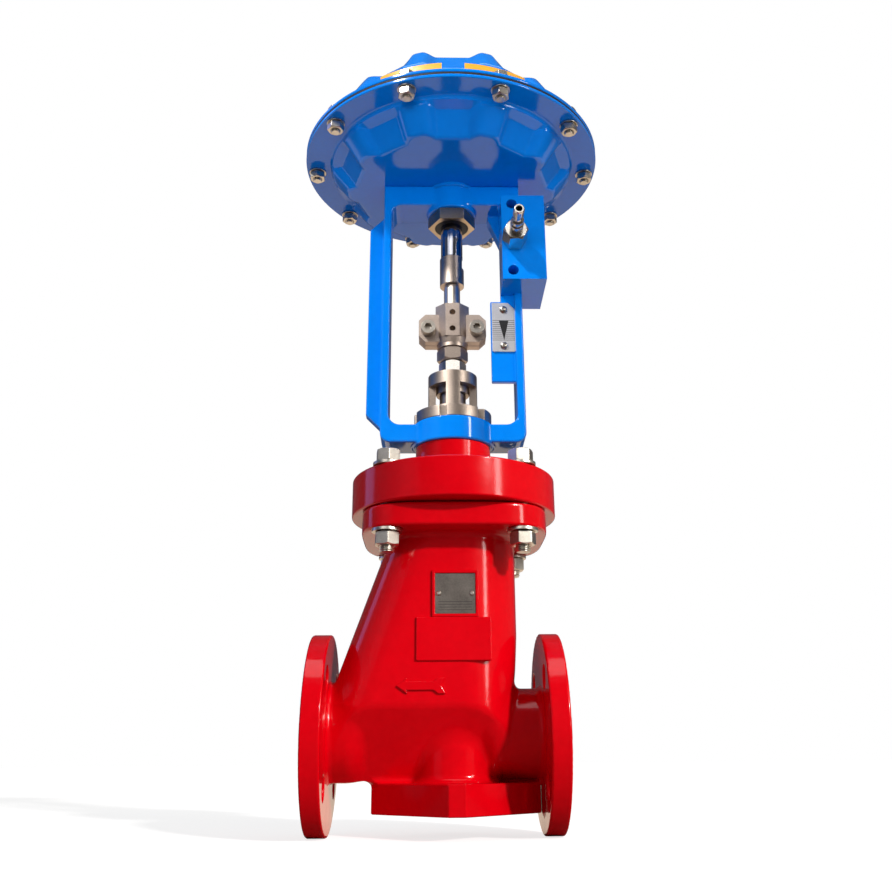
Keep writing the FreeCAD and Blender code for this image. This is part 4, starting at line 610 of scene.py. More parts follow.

# %% [markdown]
# ## A painted reflection on the stem below its sleeve
# The actuator stem is hard chromed and mirror bright where it runs in its bushing. It is one piece
# of one steel, but below the sleeve its base colour is painted lighter and warmer, a painted
# reflection, and it is made a little duller. Its material asks how high a point lies: under the
# sleeve's foot a comparison gives one, which adds roughness and the painted warm tint.

# %% The stem below its sleeve
SLEEVE_FOOT = 464.0
stem_tree = polished_stem.node_tree
stem_shader = stem_tree.nodes["Principled BSDF"]
level = add(stem_tree, "ShaderNodeSeparateXYZ", "Z", i0=place(stem_tree))
below = level.sum("LESS_THAN", SLEEVE_FOOT * MM)
smooth, tint = (Wire(stem_tree, stem_shader.inputs[key].links[0].from_socket)
                for key in ("Roughness", "Base Color"))
feed(stem_tree, stem_shader.inputs["Roughness"], smooth + below * 0.22)
# painted reflection: a lighter, warmer base colour below the sleeve's foot stands in for a brighter
# reflection; the added roughness is real
painted_reflection_lighter = mix_colours(stem_tree, below, tint, srgb(240, 228, 216))
feed(stem_tree, stem_shader.inputs["Base Color"], painted_reflection_lighter)
print("the stem is ground below", SLEEVE_FOOT, "mm")

# %% [markdown]
# ## Rubber, packing and plastic
# The soft parts are nearly all inside. The diaphragm's edge shows as a thin dark line between
# the two rims, the gasket and packing are graphite, and the vent is moulded plastic.

# %% Soft and moulded materials
def moulded(name, light, deep, rough, grain, depth):
    """A soft or moulded material between two shades, with a fine grain of a depth in millimetres."""
    made, tree, shader = finish(name, Specular_IOR_Level=0.4)
    shade = use(tree, unevenness, "Both", Patches=30.0, Grain=grain)
    feed(tree, shader.inputs["Base Color"], mix_colours(tree, shade, srgb(*light), srgb(*deep)))
    speckle = use(tree, unevenness, "Fast", Patches=30.0, Grain=grain)
    feed(tree, shader.inputs["Roughness"], between(tree, speckle, 0.0, 1.0, rough, rough + 0.18))
    bumped(tree, shader, speckle, depth)
    return made


gasket = moulded("gasket_graphite", (58, 58, 60), (38, 38, 40), 0.5, 700.0, 0.01)
packing = moulded("packing_graphite", (70, 68, 64), (46, 44, 42), 0.6, 900.0, 0.02)
seal = moulded("seal_rubber", (34, 34, 36), (20, 20, 22), 0.45, 500.0, 0.006)
rubber = moulded("diaphragm_rubber", (44, 42, 42), (26, 25, 26), 0.55, 600.0, 0.015)
vent_plastic = moulded("vent_plastic", (30, 30, 32), (18, 18, 20), 0.4, 500.0, 0.01)
amber = moulded("amber_label", (248, 184, 58), (236, 164, 36), 0.3, 300.0, 0.003)

SLOTS = {
    "body_paint": body_red, "yoke_paint": yoke_blue, "trim_steel": trim_steel,
    "bush_bronze": bush_bronze, "gasket": gasket, "stainless_fasteners": stainless,
    "spring_steel": spring_steel, "packing": packing, "gland_steel": gland_steel,
    "bright_steel": bright_steel, "coupling_steel": coupling_steel, "polished_stem": polished_stem,
    "bushing_steel": bushing_steel, "seal": seal, "dark_steel": dark_steel,
    "vent_plastic": vent_plastic, "amber_label": amber, "diaphragm_rubber": rubber,
    "scale_plate": scale_steel, "nameplate": nameplate_steel,
}
slot_of = {part["node"]: part["material_slot"] for part in record["subparts"]}
print("materials:", len(SLOTS), "slots of nodes:", len(slot_of))

# %% [markdown]
# ## Dressing a piece
# Every piece ends the same way: its material goes on, taken from the slot of the node it stands
# for unless it is given, it says which imported node it stands for, and it rides on the body that
# carries it. Machined parts whose imported shape is right are copied, their loose triangles are
# merged, flat faces are made whole again, and a small bevel breaks every edge, because a knife edge
# never catches the light.

# %% Dressing
BODY_OF = {node: body for body, members in record["behaviour"]["bodies"].items() for node in members}


def dress(piece, *nodes, material=None):
    """Material (from the node's slot unless given), replaced nodes and body of a finished piece."""
    piece.data.materials.clear()
    piece.data.materials.append(material or SLOTS[slot_of[nodes[0]]])
    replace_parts(piece, *nodes)
    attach(piece, BODY_OF[nodes[0]])
    return piece


def sharpened(piece, angle=32):
    """Smooth faces with their hard edges kept; large flat faces lead, so they look flat."""
    piece.data.shade_smooth()
    piece.data.set_sharp_from_angle(angle=math.radians(angle))
    flat = piece.modifiers.new("flat_faces", "WEIGHTED_NORMAL")
    flat.keep_sharp, flat.weight = True, 80
    return settled_mesh(piece)


def bevelled(piece, width, steps=2, angle=30, arcs=False):
    """Breaks every edge that is sharper than an angle; the width is in millimetres."""
    broken = piece.modifiers.new("broken_edges", "BEVEL")
    broken.width, broken.segments = width * MM, steps
    broken.limit_method, broken.angle_limit = "ANGLE", math.radians(angle)
    broken.miter_outer = "MITER_ARC" if arcs else "MITER_SHARP"
    return settled_mesh(piece)


def machined(node, width):
    """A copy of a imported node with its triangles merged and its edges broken."""
    mesh = frame["nodes"][node].data.copy()
    work = bmesh.new()
    work.from_mesh(mesh)
    bmesh.ops.remove_doubles(work, verts=work.verts, dist=2e-6)
    bmesh.ops.dissolve_degenerate(work, dist=1e-6, edges=work.edges)
    bmesh.ops.dissolve_limit(work, angle_limit=math.radians(1), verts=work.verts, edges=work.edges)
    work.to_mesh(mesh)
    work.free()
    mesh.materials.clear()
    piece = bevelled(shown(node + "_dressed", mesh), width, arcs=True)
    return dress(sharpened(piece, 35), node)


dress(valve_body, "valve_body")
dress(yoke, "yoke")
print("dressed:", valve_body.name, yoke.name)

# %% [markdown]
# ## Round and hexagonal parts
# Nuts, washers, studs and rings are all turned on a lathe, so each is a pile of rings. A ring is a
# radius and a level; for a hexagon the radius changes round the ring, and the level too, because
# the 30 degree chamfer cuts the corners lower than the flats. That gives the curved chamfer edges
# that every real nut has. Corners of a turned profile are rounded before it is spun.

# %% Rings
def soften(points, radii, steps=4):
    """A path whose corners are arcs; a radius of zero gives as many points, all in one place."""
    path = []
    for i, ((x, y), radius) in enumerate(zip(points, radii)):
        here = np.array((x, y), float)
        if i in (0, len(points) - 1):
            path.append(here)
            continue
        if not radius:
            path += [here] * (steps + 1)
            continue
        back, forth = np.array(points[i - 1], float) - here, np.array(points[i + 1], float) - here
        back, forth = back / np.linalg.norm(back), forth / np.linalg.norm(forth)
        half = math.acos(max(-1.0, min(1.0, float(back @ forth)))) / 2
        reach = radius / math.tan(half)
        middle = here + (back + forth) / np.linalg.norm(back + forth) * (radius / math.sin(half))
        first, last = here + back * reach - middle, here + forth * reach - middle
        for step in range(steps + 1):
            share = step / steps
            swing = math.pi - 2 * half
            ray = (math.sin((1 - share) * swing) * first + math.sin(share * swing) * last) / math.sin(swing)
            path.append(middle + ray)
    return [tuple(point) for point in path]


def bands(rings, count, loop):
    """Four-sided faces between rings of corners that lie one after another."""
    here = np.arange(count)
    after = (here + 1) % count
    made = []
    for ring in range(rings if loop else rings - 1):
        low, high = ring * count, (ring + 1) % rings * count
        made.append(np.stack([here + low, after + low, after + high, here + high], 1))
    return np.concatenate(made)


def spin(name, rings, count=96, loop=False, bevel=0.0, angle=35):
    """A closed piece from rings of (radius, level), numbers or one value per corner."""
    turn = np.arange(count) / count * 2 * math.pi
    corners = [np.stack([r * np.cos(turn), r * np.sin(turn), z + 0 * turn], 1) for r, z in rings]
    mesh = mesh_of(name, np.concatenate(corners), bands(len(rings), count, loop))
    return closed(shown(name, mesh), bevel, angle)


def closed(piece, bevel=0.0, angle=35):
    """Merges doubles, closes open ends, turns the faces outwards and breaks the edges."""
    work = bmesh.new()
    work.from_mesh(piece.data)
    bmesh.ops.remove_doubles(work, verts=work.verts, dist=1e-7)
    bmesh.ops.dissolve_degenerate(work, dist=1e-7, edges=work.edges)
    bmesh.ops.holes_fill(work, edges=[edge for edge in work.edges if edge.is_boundary], sides=0)
    bmesh.ops.recalc_face_normals(work, faces=work.faces)
    work.to_mesh(piece.data)
    work.free()
    if bevel:
        bevelled(piece, bevel, angle=angle)
    return sharpened(piece, angle)


print("a right corner with a radius:", len(soften([(0, 0), (9, 0), (9, 9)], (0, 2, 0))), "points")

# %% [markdown]
# ## Moving, joining and cutting
# A finished object stays at the origin, so a piece is turned and moved in its mesh. Pieces that are
# one in the end, such as a bolt's shank and head, are put in one mesh, and a drilled hole or a key's
# socket is taken out with a Boolean.

# %% Moving, joining and cutting
def moved(piece, x=0.0, y=0.0, z=0.0, turn=None):
    """Turns, then moves the mesh of a piece; its object stays at the origin."""
    if turn is not None:
        piece.data.transform(turn)
    piece.data.transform(Matrix.Translation(Vector((x, y, z)) * MM))
    return piece


def together(name, pieces):
    """Several pieces as one, without changing their shapes."""
    work = bmesh.new()
    for piece in pieces:
        work.from_mesh(piece.data)
        bpy.data.objects.remove(piece)
    mesh = bpy.data.meshes.new(name)
    work.to_mesh(mesh)
    work.free()
    return sharpened(shown(name, mesh), 35)


def cut(piece, tools):
    """Takes tools out of a piece with an exact Boolean."""
    for tool in tools:
        removal = piece.modifiers.new("cut", "BOOLEAN")
        removal.operation, removal.object, removal.solver = "DIFFERENCE", tool, "EXACT"
    settled_mesh(piece)
    for tool in tools:
        bpy.data.objects.remove(tool)
    return piece


trial = moved(spin("trial", [(0, 0), (5, 0), (5, 9), (0, 9)], 24), z=3)
print("a bar moved up by 3 mm ends at", round(max(v.co.z for v in trial.data.vertices) / MM, 1), "mm")
bpy.data.objects.remove(trial)

# %% [markdown]
# ## Nuts, washers and threads
# A nut is six flats whose corners are cut by a cone on both ends, a bolt's head is the same without
# a bore, and a washer has its edges slightly rounded. The stud ends show real threads, so the rod's
# radius waves as it climbs: one whole wave in each pitch, turned a little further on every ring.

# %% Nuts, washers and threads
NUT_CORNERS, NUT_EDGE, CHAMFER = 48, 0.18, math.radians(30)
from_flat = (np.arange(NUT_CORNERS) / NUT_CORNERS * 360 + 30) % 60 - 30
HEXAGON = 1 / np.cos(np.radians(from_flat)) / 2


def nut_rings(flats, bore, low, high):
    land = flats * 0.465
    drop = np.maximum(HEXAGON * flats - land, 0) * math.tan(CHAMFER)
    return [(bore, low + 0.5), (bore + 0.5, low), (land, low), (HEXAGON * flats, low + drop),
            (HEXAGON * flats, high - drop), (land, high), (bore + 0.5, high), (bore, high - 0.5)]


def nut(name, flats, bore, low, high):
    return spin(name, nut_rings(flats, bore, low, high), NUT_CORNERS, loop=True, bevel=NUT_EDGE)


def hex_head(name, flats, low, high):
    rings = nut_rings(flats, 0.0, low, high)
    return spin(name, [(0, low), *rings[2:6], (0, high)], NUT_CORNERS, bevel=NUT_EDGE)


def washer(name, outer, bore, low, high, edge=0.3):
    section = [(bore, low), (outer, low), (outer, high), (bore, high)]
    return spin(name, soften(section, (0, edge, edge, 0), 2), 48, loop=True)


def threaded(name, radius, pitch, low, high, count=32):
    """A rod with a real helical thread and chamfered ends."""
    turn = np.arange(count) / count
    depth = pitch * 0.5
    rings = [(0.0, low)]
    for level in (*np.arange(low, high, pitch / 6), high):
        wave = np.abs(((level / pitch - turn) % 1) * 2 - 1)
        taper = max(0.0, 1 - min(level - low, high - level) / (pitch * 0.7))
        rings.append((radius - depth * np.maximum(1 - np.clip(wave * 1.5, 0, 1), taper * 0.9), level))
    return spin(name, [*rings, (0.0, high)], count, angle=50)


print("a nut's corners are", round(HEXAGON.max() / HEXAGON.min(), 3), "times as far out as its flats")


# %% [markdown]
# ## A ring of fasteners
# Four studs hold the bonnet and ten bolts hold the casing, all evenly spaced on a circle. One
# Geometry Nodes tree serves them all: a mesh circle gives the points, which are then set out from
# the first angle, an instance of the fastener stands on each, and the instances are made real and
# take their material. Its inputs are the circle, the number and the first angle.

# %% The ring tree
def geometry_tree(name, inputs, build):
    """A Geometry Nodes tree that takes a mesh, named inputs and a Finish, its material."""
    tree = bpy.data.node_groups.new(name, "GeometryNodeTree")
    tree.is_modifier = True
    sockets(tree, "INPUT", Geometry=("Geometry", None), **inputs, Finish=("Material", None))
    sockets(tree, "OUTPUT", Geometry=("Geometry", None))
    enter, leave = tree.nodes.new("NodeGroupInput"), tree.nodes.new("NodeGroupOutput")
    shape = build(tree, lambda key: Wire(tree, enter.outputs[key]))
    real = add(tree, "GeometryNodeRealizeInstances", Geometry=shape)
    material = Wire(tree, enter.outputs["Finish"])
    painted = add(tree, "GeometryNodeSetMaterial", Geometry=real, Material=material)
    tree.links.new(painted.socket, leave.inputs["Geometry"])
    print("tree", name, "with", len(tree.nodes), "nodes")
    return tree


def grown(piece, tree, **values):
    """Runs a tree on a piece with its named inputs and keeps the result as a plain mesh."""
    runs = piece.modifiers.new(tree.name, "NODES")
    runs.node_group = tree
    names = {item.name: item.identifier for item in tree.interface.items_tree if item.in_out == "INPUT"}
    for key, value in values.items():
        runs[names[spaced(key)]] = value
    return settled_mesh(piece)


def build_ring(tree, take):
    ray = take("Circle") * 0.5
    points = add(tree, "GeometryNodeMeshCircle", Vertices=take("Count"), Radius=ray)
    step = add(tree, "GeometryNodeInputIndex") / take("Count") * (2 * math.pi) + take("First Angle")
    spot = add(tree, "ShaderNodeCombineXYZ", X=step.sum("COSINE") * ray, Y=step.sum("SINE") * ray)
    points = add(tree, "GeometryNodeSetPosition", Geometry=points, Position=spot)
    facing = add(tree, "ShaderNodeCombineXYZ", Z=step)
    return add(tree, "GeometryNodeInstanceOnPoints", Points=points, Instance=take("Geometry"),
               Rotation=facing)


ring_tree = geometry_tree("ring_of_fasteners", {
    "Circle": ("Float", 0.15), "Count": ("Int", 4), "First_Angle": ("Float", 0.0)}, build_ring)


def ring_of(piece, circle, count, first, material):
    """A finished fastener repeated round the stem axis."""
    grown(piece, ring_tree, Circle=circle * MM, Count=count, First_Angle=math.radians(first),
          Finish=material)
    return sharpened(piece, 35)


# %% [markdown]
# ## Fasteners of the bonnet
# Each of the four studs carries a nut and a washer at both ends, under the body's top flange and on
# the bonnet. A nut stops where it is tight, so these are turned a little, as in the photograph.

# %% Bonnet fasteners
STUD_CIRCLE, STUD, BONNET_NUT, NUT_HIGH, WASHER_HIGH = 150, 6, 18, 10.8, 2.5
FLANGE_UNDER, DISC_TOP = 225.0, 276.4
NUT_TURN = Matrix.Rotation(math.radians(22), 4, "Z")


def bonnet_ring(node, piece):
    return dress(ring_of(piece, STUD_CIRCLE, 4, 45, stainless), node)


bonnet_ring("bonnet_studs", threaded("studs", STUD, 1.75, 206.5, 290.3))
washer_low, washer_top = FLANGE_UNDER - WASHER_HIGH, DISC_TOP + WASHER_HIGH
lower_nut = nut("lower_nuts", BONNET_NUT, STUD, washer_low - NUT_HIGH, washer_low)
bonnet_ring("bonnet_nuts_lower", moved(lower_nut, turn=NUT_TURN))
bonnet_ring("bonnet_washers_lower", washer("lower_washers", 12, STUD + 0.2, washer_low, FLANGE_UNDER))
bonnet_ring("bonnet_washers_upper", washer("upper_washers", 12, STUD + 0.2, DISC_TOP, washer_top))
upper_nut = nut("upper_nuts", BONNET_NUT, STUD, washer_top, washer_top + NUT_HIGH)
bonnet_ring("bonnet_nuts_upper", moved(upper_nut, turn=NUT_TURN))
print("nuts and washers on", STUD_CIRCLE, "mm")

# %% [markdown]
# ## Fasteners of the casing
# Ten bolts clamp the two halves and the rubber between them. They come from above, and the nuts
# are underneath with two or three turns of thread below them.

# %% Casing fasteners
CASING_CIRCLE, BOLT, BOLT_FLATS = 255, 4, 13
FLANGE_LOW, RUBBER_LOW, RUBBER_HIGH, FLANGE_HIGH = 586.8, 590.0, 592.1, 595.3
THIN_WASHER = 1.6


def casing_ring(node, piece):
    return dress(ring_of(piece, CASING_CIRCLE, 10, 0, stainless), node)


shank = threaded("shank", BOLT, 1.25, 576.4, 599)
head = hex_head("head", BOLT_FLATS, FLANGE_HIGH + THIN_WASHER, 602.2)
casing_ring("casing_bolts", together("bolt", [shank, head]))
casing_ring("casing_nuts", nut("casing_nuts_turned", BOLT_FLATS, BOLT, 578.4, FLANGE_LOW - THIN_WASHER))
washer_levels = (FLANGE_LOW - THIN_WASHER, FLANGE_HIGH)
washers = [washer("thin", 8, 4.1, low, low + THIN_WASHER) for low in washer_levels]
casing_ring("casing_washers", together("washer_pair", washers))
print("ten bolts on", CASING_CIRCLE, "mm")

# %% [markdown]
# ## The bonnet
# The bonnet is a thick disc with a neck, turned after casting, so it is one spun profile with
# small rounded edges and a fillet where the neck grows out of the disc. Its four stud holes are
# drilled through it with a Boolean, as on the real one.

# %% Bonnet
profile = [(14.05, 204.4), (22, 204.4), (22, 236.4), (42, 236.4), (42, 244.4), (85, 244.4),
           (85, DISC_TOP), (32, DISC_TOP), (32, HUB), (24, HUB), (24, 337.5), (15, 337.5), (15, 280.4),
           (7.05, 280.4), (7.05, 232.4), (14.05, 232.4)]
radii = (0, 0.5, 2, 0.5, 0.5, 1.6, 1.6, 7, 0.5, 0.5, 0.8, 0.5, 0.5, 0.3, 0.3, 0)
bonnet = spin("bonnet_disc", soften(profile, radii, 4), 160, loop=True, angle=40)
drills = []
for corner in range(4):
    drill_bit = spin("bit", [(0, 240), (STUD_HOLE, 240), (STUD_HOLE, 280), (0, 280)], 32)
    turn = math.radians(45 + 90 * corner)
    drills.append(moved(drill_bit, STUD_CIRCLE / 2 * math.cos(turn), STUD_CIRCLE / 2 * math.sin(turn)))
cut(bonnet, drills)
sharpened(bonnet, 28)
dress(bonnet, "bonnet")
print("bonnet", len(bonnet.data.polygons), "faces")

# %% [markdown]
# ## The casing halves
# Each half is a sheet steel stamping. Seen from above it is a round pan whose wall has ten flats
# pressed into it, and the metal bulges between them. That is a rule, so Geometry Nodes make it:
# a profile is given twice, once where the wall bulges and once in the middle of a flat, and the
# tree spins it. Near the middle of a flat a point follows the flat, outside it follows the bulge,
# and over a blend it changes from one to the other, softly or with a crease.

# %% The stamping tree
def build_stamping(tree, take):
    whole = take("Geometry")
    count = add(tree, "GeometryNodeAttributeDomainSize", 0, {"component": "MESH"}, Geometry=whole)
    sheet = add(tree, "GeometryNodeMeshGrid", Vertices_X=take("Around") + 1.0, Vertices_Y=count)
    index = add(tree, "GeometryNodeInputIndex")
    row = index.sum("MODULO", count)
    turn = (index / count + 0.0001).sum("FLOOR") / take("Around") * (2 * math.pi)

    def sampled(name):
        of_vectors = {"data_type": "FLOAT_VECTOR"}
        value = add(tree, "GeometryNodeInputNamedAttribute", 0, of_vectors, Name=name)
        vector = add(tree, "GeometryNodeSampleIndex", 0, of_vectors, Geometry=whole, Value=value, Index=row)
        parts = add(tree, "ShaderNodeSeparateXYZ", i0=vector).socket.node
        return [Wire(tree, socket) for socket in parts.outputs]

    bulge_r, bulge_z, grip = sampled("bulge")
    flat_r, flat_z, _ = sampled("flat")
    pitch = add(tree, "ShaderNodeMath", 0, {"operation": "DIVIDE"}, i0=math.pi, i1=take("Flats"))
    aside = (turn - take("First Angle")).sum("WRAP", pitch, pitch * -1.0)
    flat_r = flat_r / aside.sum("COSINE")
    outside = aside.sum("SINE").sum("ABSOLUTE") * flat_r - take("Flat Width") * 0.5
    share = (outside / take("Blend")).sum("MAXIMUM", 0.0).sum("MINIMUM", 1.0)
    soft = share * share * (share * -2.0 + 3.0)
    crisp = share * (share * -1.0 + 2.0)
    share = soft + (crisp - soft) * take("Crease")
    dent = (share * -1.0 + 1.0) * grip
    radius = bulge_r + (flat_r - bulge_r) * dent
    level = bulge_z + (flat_z - bulge_z) * dent
    spot = add(tree, "ShaderNodeCombineXYZ", X=turn.sum("COSINE") * radius, Y=turn.sum("SINE") * radius,
               Z=level)
    pressed = add(tree, "GeometryNodeSetPosition", Geometry=sheet, Position=spot)
    return add(tree, "GeometryNodeMergeByDistance", Geometry=pressed, Distance=2e-6)


stamping_tree = geometry_tree("lobed_stamping", {
    "Around": ("Int", 400), "Flats": ("Int", 10), "First_Angle": ("Float", 0.0),
    "Flat_Width": ("Float", 0.029), "Blend": ("Float", 0.01), "Crease": ("Float", 0.0)}, build_stamping)

# %% [markdown]
# ## Pressing the two halves
# A row of the list below is one corner of the sheet's section: its radius and level where the wall
# bulges, the same in the middle of a flat, the radius that rounds it, and whether the flats take
# hold there. The rims are the same all round, so nothing takes hold of them.

# %% Casing halves
AROUND, QUICK_AROUND, FLATS, FLAT_WIDTH = 480, 300, 10, 29


def stamping(name, section, blend, crease):
    """One casing half from the corners of its section."""
    bulge, flat = [row[0:2] for row in section], [row[2:4] for row in section]
    radii, grips = [row[4] for row in section], [row[5] for row in section]
    first, second = soften(bulge, radii, 5), soften(flat, radii, 5)
    grip = soften([(g, i) for i, g in enumerate(grips)], [0] * len(grips), 5)
    mesh = bpy.data.meshes.new(name)
    mesh.from_pydata([(0, 0, 0)] * len(first), [], [])
    for key, path in (("bulge", first), ("flat", second)):
        values = np.array([(r * MM, z * MM, g) for (r, z), (g, _) in zip(path, grip)])
        mesh.attributes.new(key, "FLOAT_VECTOR", "POINT").data.foreach_set("vector", values.ravel())
    around = AROUND
    piece = grown(shown(name, mesh), stamping_tree, Around=around, Flats=FLATS,
                  First_Angle=math.radians(-90), Flat_Width=FLAT_WIDTH * MM, Blend=blend * MM,
                  Crease=crease, Finish=yoke_blue)
    print(name, len(piece.data.vertices), "corners")
    return closed(piece, angle=50)


PAN_FLOOR, PAN_SKIN, CASING_TOP, LID_SKIN = 561.1, 564.3, 650.6, 647.4
BORE, WALL_OUT, WALL_IN_SIDE, CASING_RIM = 24.05, 113, 109.8, 137.5
LOWER_SECTION = [
    (BORE, PAN_FLOOR, BORE, PAN_FLOOR, 0, 0),
    (84, PAN_FLOOR, 80, PAN_FLOOR, 0, 0),
    (97.5, PAN_FLOOR, 89, PAN_FLOOR, 6, 1),
    (WALL_OUT, 580.8, 103, 580.0, 5, 1),
    (WALL_OUT, FLANGE_LOW, WALL_OUT, FLANGE_LOW, 3.2, 0),
    (CASING_RIM, FLANGE_LOW, CASING_RIM, FLANGE_LOW, 0.9, 0),
    (CASING_RIM, RUBBER_LOW, CASING_RIM, RUBBER_LOW, 0.9, 0),
    (WALL_IN_SIDE, RUBBER_LOW, WALL_IN_SIDE, RUBBER_LOW, 3, 0),
    (WALL_IN_SIDE, 581.6, 99.8, 581.6, 5, 1),
    (95.6, PAN_SKIN, 87, PAN_SKIN, 4, 1),
    (84, PAN_SKIN, 80, PAN_SKIN, 0, 0),
    (BORE, PAN_SKIN, BORE, PAN_SKIN, 0, 0),
    (BORE, PAN_FLOOR, BORE, PAN_FLOOR, 0, 0),
]
UPPER_SECTION = [
    (0, CASING_TOP, 0, CASING_TOP, 0, 0),
    (72, CASING_TOP, 72, CASING_TOP, 0, 0),
    (97, CASING_TOP, 86.5, CASING_TOP, 9, 1),
    (WALL_OUT, 623.3, 104, 623.3, 8, 1),
    (WALL_OUT, FLANGE_HIGH, WALL_OUT, FLANGE_HIGH, 4, 0),
    (CASING_RIM, FLANGE_HIGH, CASING_RIM, FLANGE_HIGH, 0.9, 0),
    (CASING_RIM, RUBBER_HIGH, CASING_RIM, RUBBER_HIGH, 0.9, 0),
    (WALL_IN_SIDE, RUBBER_HIGH, WALL_IN_SIDE, RUBBER_HIGH, 3, 0),
    (WALL_IN_SIDE, 622.5, 100.8, 622.5, 5, 1),
    (95, LID_SKIN, 84.5, LID_SKIN, 6, 1),
    (72, LID_SKIN, 72, LID_SKIN, 0, 0),
    (0, LID_SKIN, 0, LID_SKIN, 0, 0),
]
dress(stamping("lower_pan", LOWER_SECTION, blend=10.0, crease=0.8), "lower_casing")
dress(stamping("upper_pan", UPPER_SECTION, blend=11.0, crease=0.1), "upper_casing")

# %% [markdown]
# ## Machined parts
# The coupling, the gland and the bushing are turned or milled from bar, with crisp edges. Their
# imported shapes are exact, so each is copied and only its edges are broken. The bevels are about a
# tenth to half a millimetre wide, as a file leaves them. The sleeve is turned and the coupling,
# whose slot it shares, is milled, so the sleeve takes a finish of its own.

# %% Gland, coupling, stem and air block
EDGES = {
    "gland_lantern": 0.3, "gland_screw": 0.3, "gland_follower": 0.2, "gland_lock_ring": 0.3,
    "yoke_ring_nut": 0.5, "stem_lock_nut": 0.3, "coupling_front": 0.4, "coupling_rear": 0.4,
    "coupling_screws": 0.2, "stem_sleeve": 0.4, "actuator_stem": 0.2, "bushing_nut": 0.4,
    "scraper_ring": 0.2, "air_block": 0.6, "air_block_screws": 0.1, "connector_adapter": 0.3,
    "travel_scale": 0.2, "nameplate": 0.15, "nameplate_rivets": 0.1, "casing_plug": 0.2,
    "vent_plug": 0.4, "casing_labels": 0.08,
}
copies = {node: machined(node, width) for node, width in EDGES.items()}
copies["stem_sleeve"].data.materials[0] = sleeve_steel
print("machined:", {node: len(piece.data.polygons) for node, piece in copies.items()})

# %% [markdown]
# ## Raised panels on the trunk
# The pattern for the mould carried a square frame for the nameplate, a panel for cast data and an
# arrow that shows which way the flow goes. They stand out one or two millimetres. Each is an
# outline drawn in the plane of the trunk's front, pushed out and rounded like every cast edge.

# %% Outlines pushed out of a face
TRUNK_FRONT = -TRUNK_HALF


def pushed_out(name, points, front, back, edge=0.0, steps=3):
    """A closed outline in XZ, made solid between two values of Y, with rounded edges."""
    work = bmesh.new()
    sheet = work.faces.new([work.verts.new(Vector((x, front, z)) * MM) for x, z in points])
    solid = bmesh.ops.extrude_face_region(work, geom=[sheet])
    moving = [item for item in solid["geom"] if isinstance(item, bmesh.types.BMVert)]
    bmesh.ops.translate(work, verts=moving, vec=(0, (back - front) * MM, 0))
    bmesh.ops.recalc_face_normals(work, faces=work.faces)
    mesh = bpy.data.meshes.new(name)
    work.to_mesh(mesh)
    work.free()
    return rounded(shown(name, mesh), edge, steps)


def rounded(piece, edge, steps=3):
    if edge:
        bevelled(piece, edge, steps, 35)
    return sharpened(piece, 50)


def rectangle(left, right_end, low, high):
    return [(left, low), (right_end, low), (right_end, high), (left, high)]


print("the trunk's front stands at", TRUNK_FRONT, "mm")

# %% Nameplate frame, plain panel and flow arrow
PLATE_LEVEL, FRAME_HALF, SEAT_HALF = 176.0, 18.0, 15.55
RAISED, ROOTED = TRUNK_FRONT - 2, TRUNK_FRONT + 3
PANEL_EDGES = (-30.1, 27.5, 125.4, 158.0)
ARROW_TIP, ARROW_LEVEL, ARROW_LONG = -44.64, 107.3, 37.2


def plate_square(half):
    return rectangle(-half, half, PLATE_LEVEL - half, PLATE_LEVEL + half)


plate_frame = pushed_out("plate_frame", plate_square(FRAME_HALF), RAISED, ROOTED)
recess = pushed_out("recess", plate_square(SEAT_HALF), TRUNK_FRONT - 9, TRUNK_FRONT)
rounded(cut(plate_frame, [recess]), 0.7)
panel = pushed_out("plain_panel", rectangle(*PANEL_EDGES), RAISED, ROOTED, 0.9)
half_arrow = [(0.23, 5.9), (0.2, 3.2), (0.75, 3.2), (0.84, 5.8), (1, 5.8)]
whole_arrow = [(0, 0), *[(s, -h) for s, h in half_arrow], (0.9, 0), *half_arrow[::-1]]
arrow_outline = [(ARROW_TIP + s * ARROW_LONG, ARROW_LEVEL + h) for s, h in whole_arrow]
arrow = pushed_out("flow_arrow", arrow_outline, RAISED, ROOTED, 0.9)
panels = together("body_panels", [plate_frame, panel, arrow])
dress(panels, "valve_body")
print("panels", len(panels.data.polygons), "faces")

# %% [markdown]
# ## Scale marks
# The travel scale is a small steel plate with a black wedge and fine black lines, one for each
# tenth of the travel. They are screen printed, so each is a film with almost no thickness. The
# lines repeat, so a small tree sets copies of one line on a row of points.

# %% Scale marks
def build_row(tree, take):
    line = add(tree, "GeometryNodeMeshLine", Count=take("Count"), Offset=take("Step"))
    return add(tree, "GeometryNodeInstanceOnPoints", Points=line, Instance=take("Geometry"))


row_tree = geometry_tree("row_of_marks", {
    "Count": ("Int", 11), "Step": ("Vector", (0, 0, 0.002))}, build_row)
SCALE_FRONT, FILM, HALF_LINE = -14.5, 0.03, 0.2
LINE_LEFT, LINE_RIGHT, ZERO_LINE, FULL_LINE = 35.5, 55.1, 404.6, 423.6
black_film = moulded("printed_black", (24, 24, 26), (16, 16, 18), 0.5, 400.0, 0.0005)
line_edges = rectangle(LINE_LEFT, LINE_RIGHT, ZERO_LINE - HALF_LINE, ZERO_LINE + HALF_LINE)
one_line = pushed_out("line", line_edges, SCALE_FRONT - FILM, SCALE_FRONT + 0.1)
grown(one_line, row_tree, Count=11, Step=(0, 0, (FULL_LINE - ZERO_LINE) / 10 * MM), Finish=black_film)
wedge = pushed_out("wedge", [(41.2, FULL_LINE), (45.6, ZERO_LINE), (49.8, FULL_LINE)],
                   SCALE_FRONT - 2 * FILM, SCALE_FRONT + 0.1)
marks = together("scale_marks", [one_line, wedge])
dress(marks, "travel_scale", material=black_film)
print("scale marks", len(marks.data.polygons), "faces")

# %% [markdown]
# ## Ruled lines of the nameplate
# The nameplate's data is left off, but its ruled lines stay: the same tree repeats a fine line in
# the lower third of the plate.

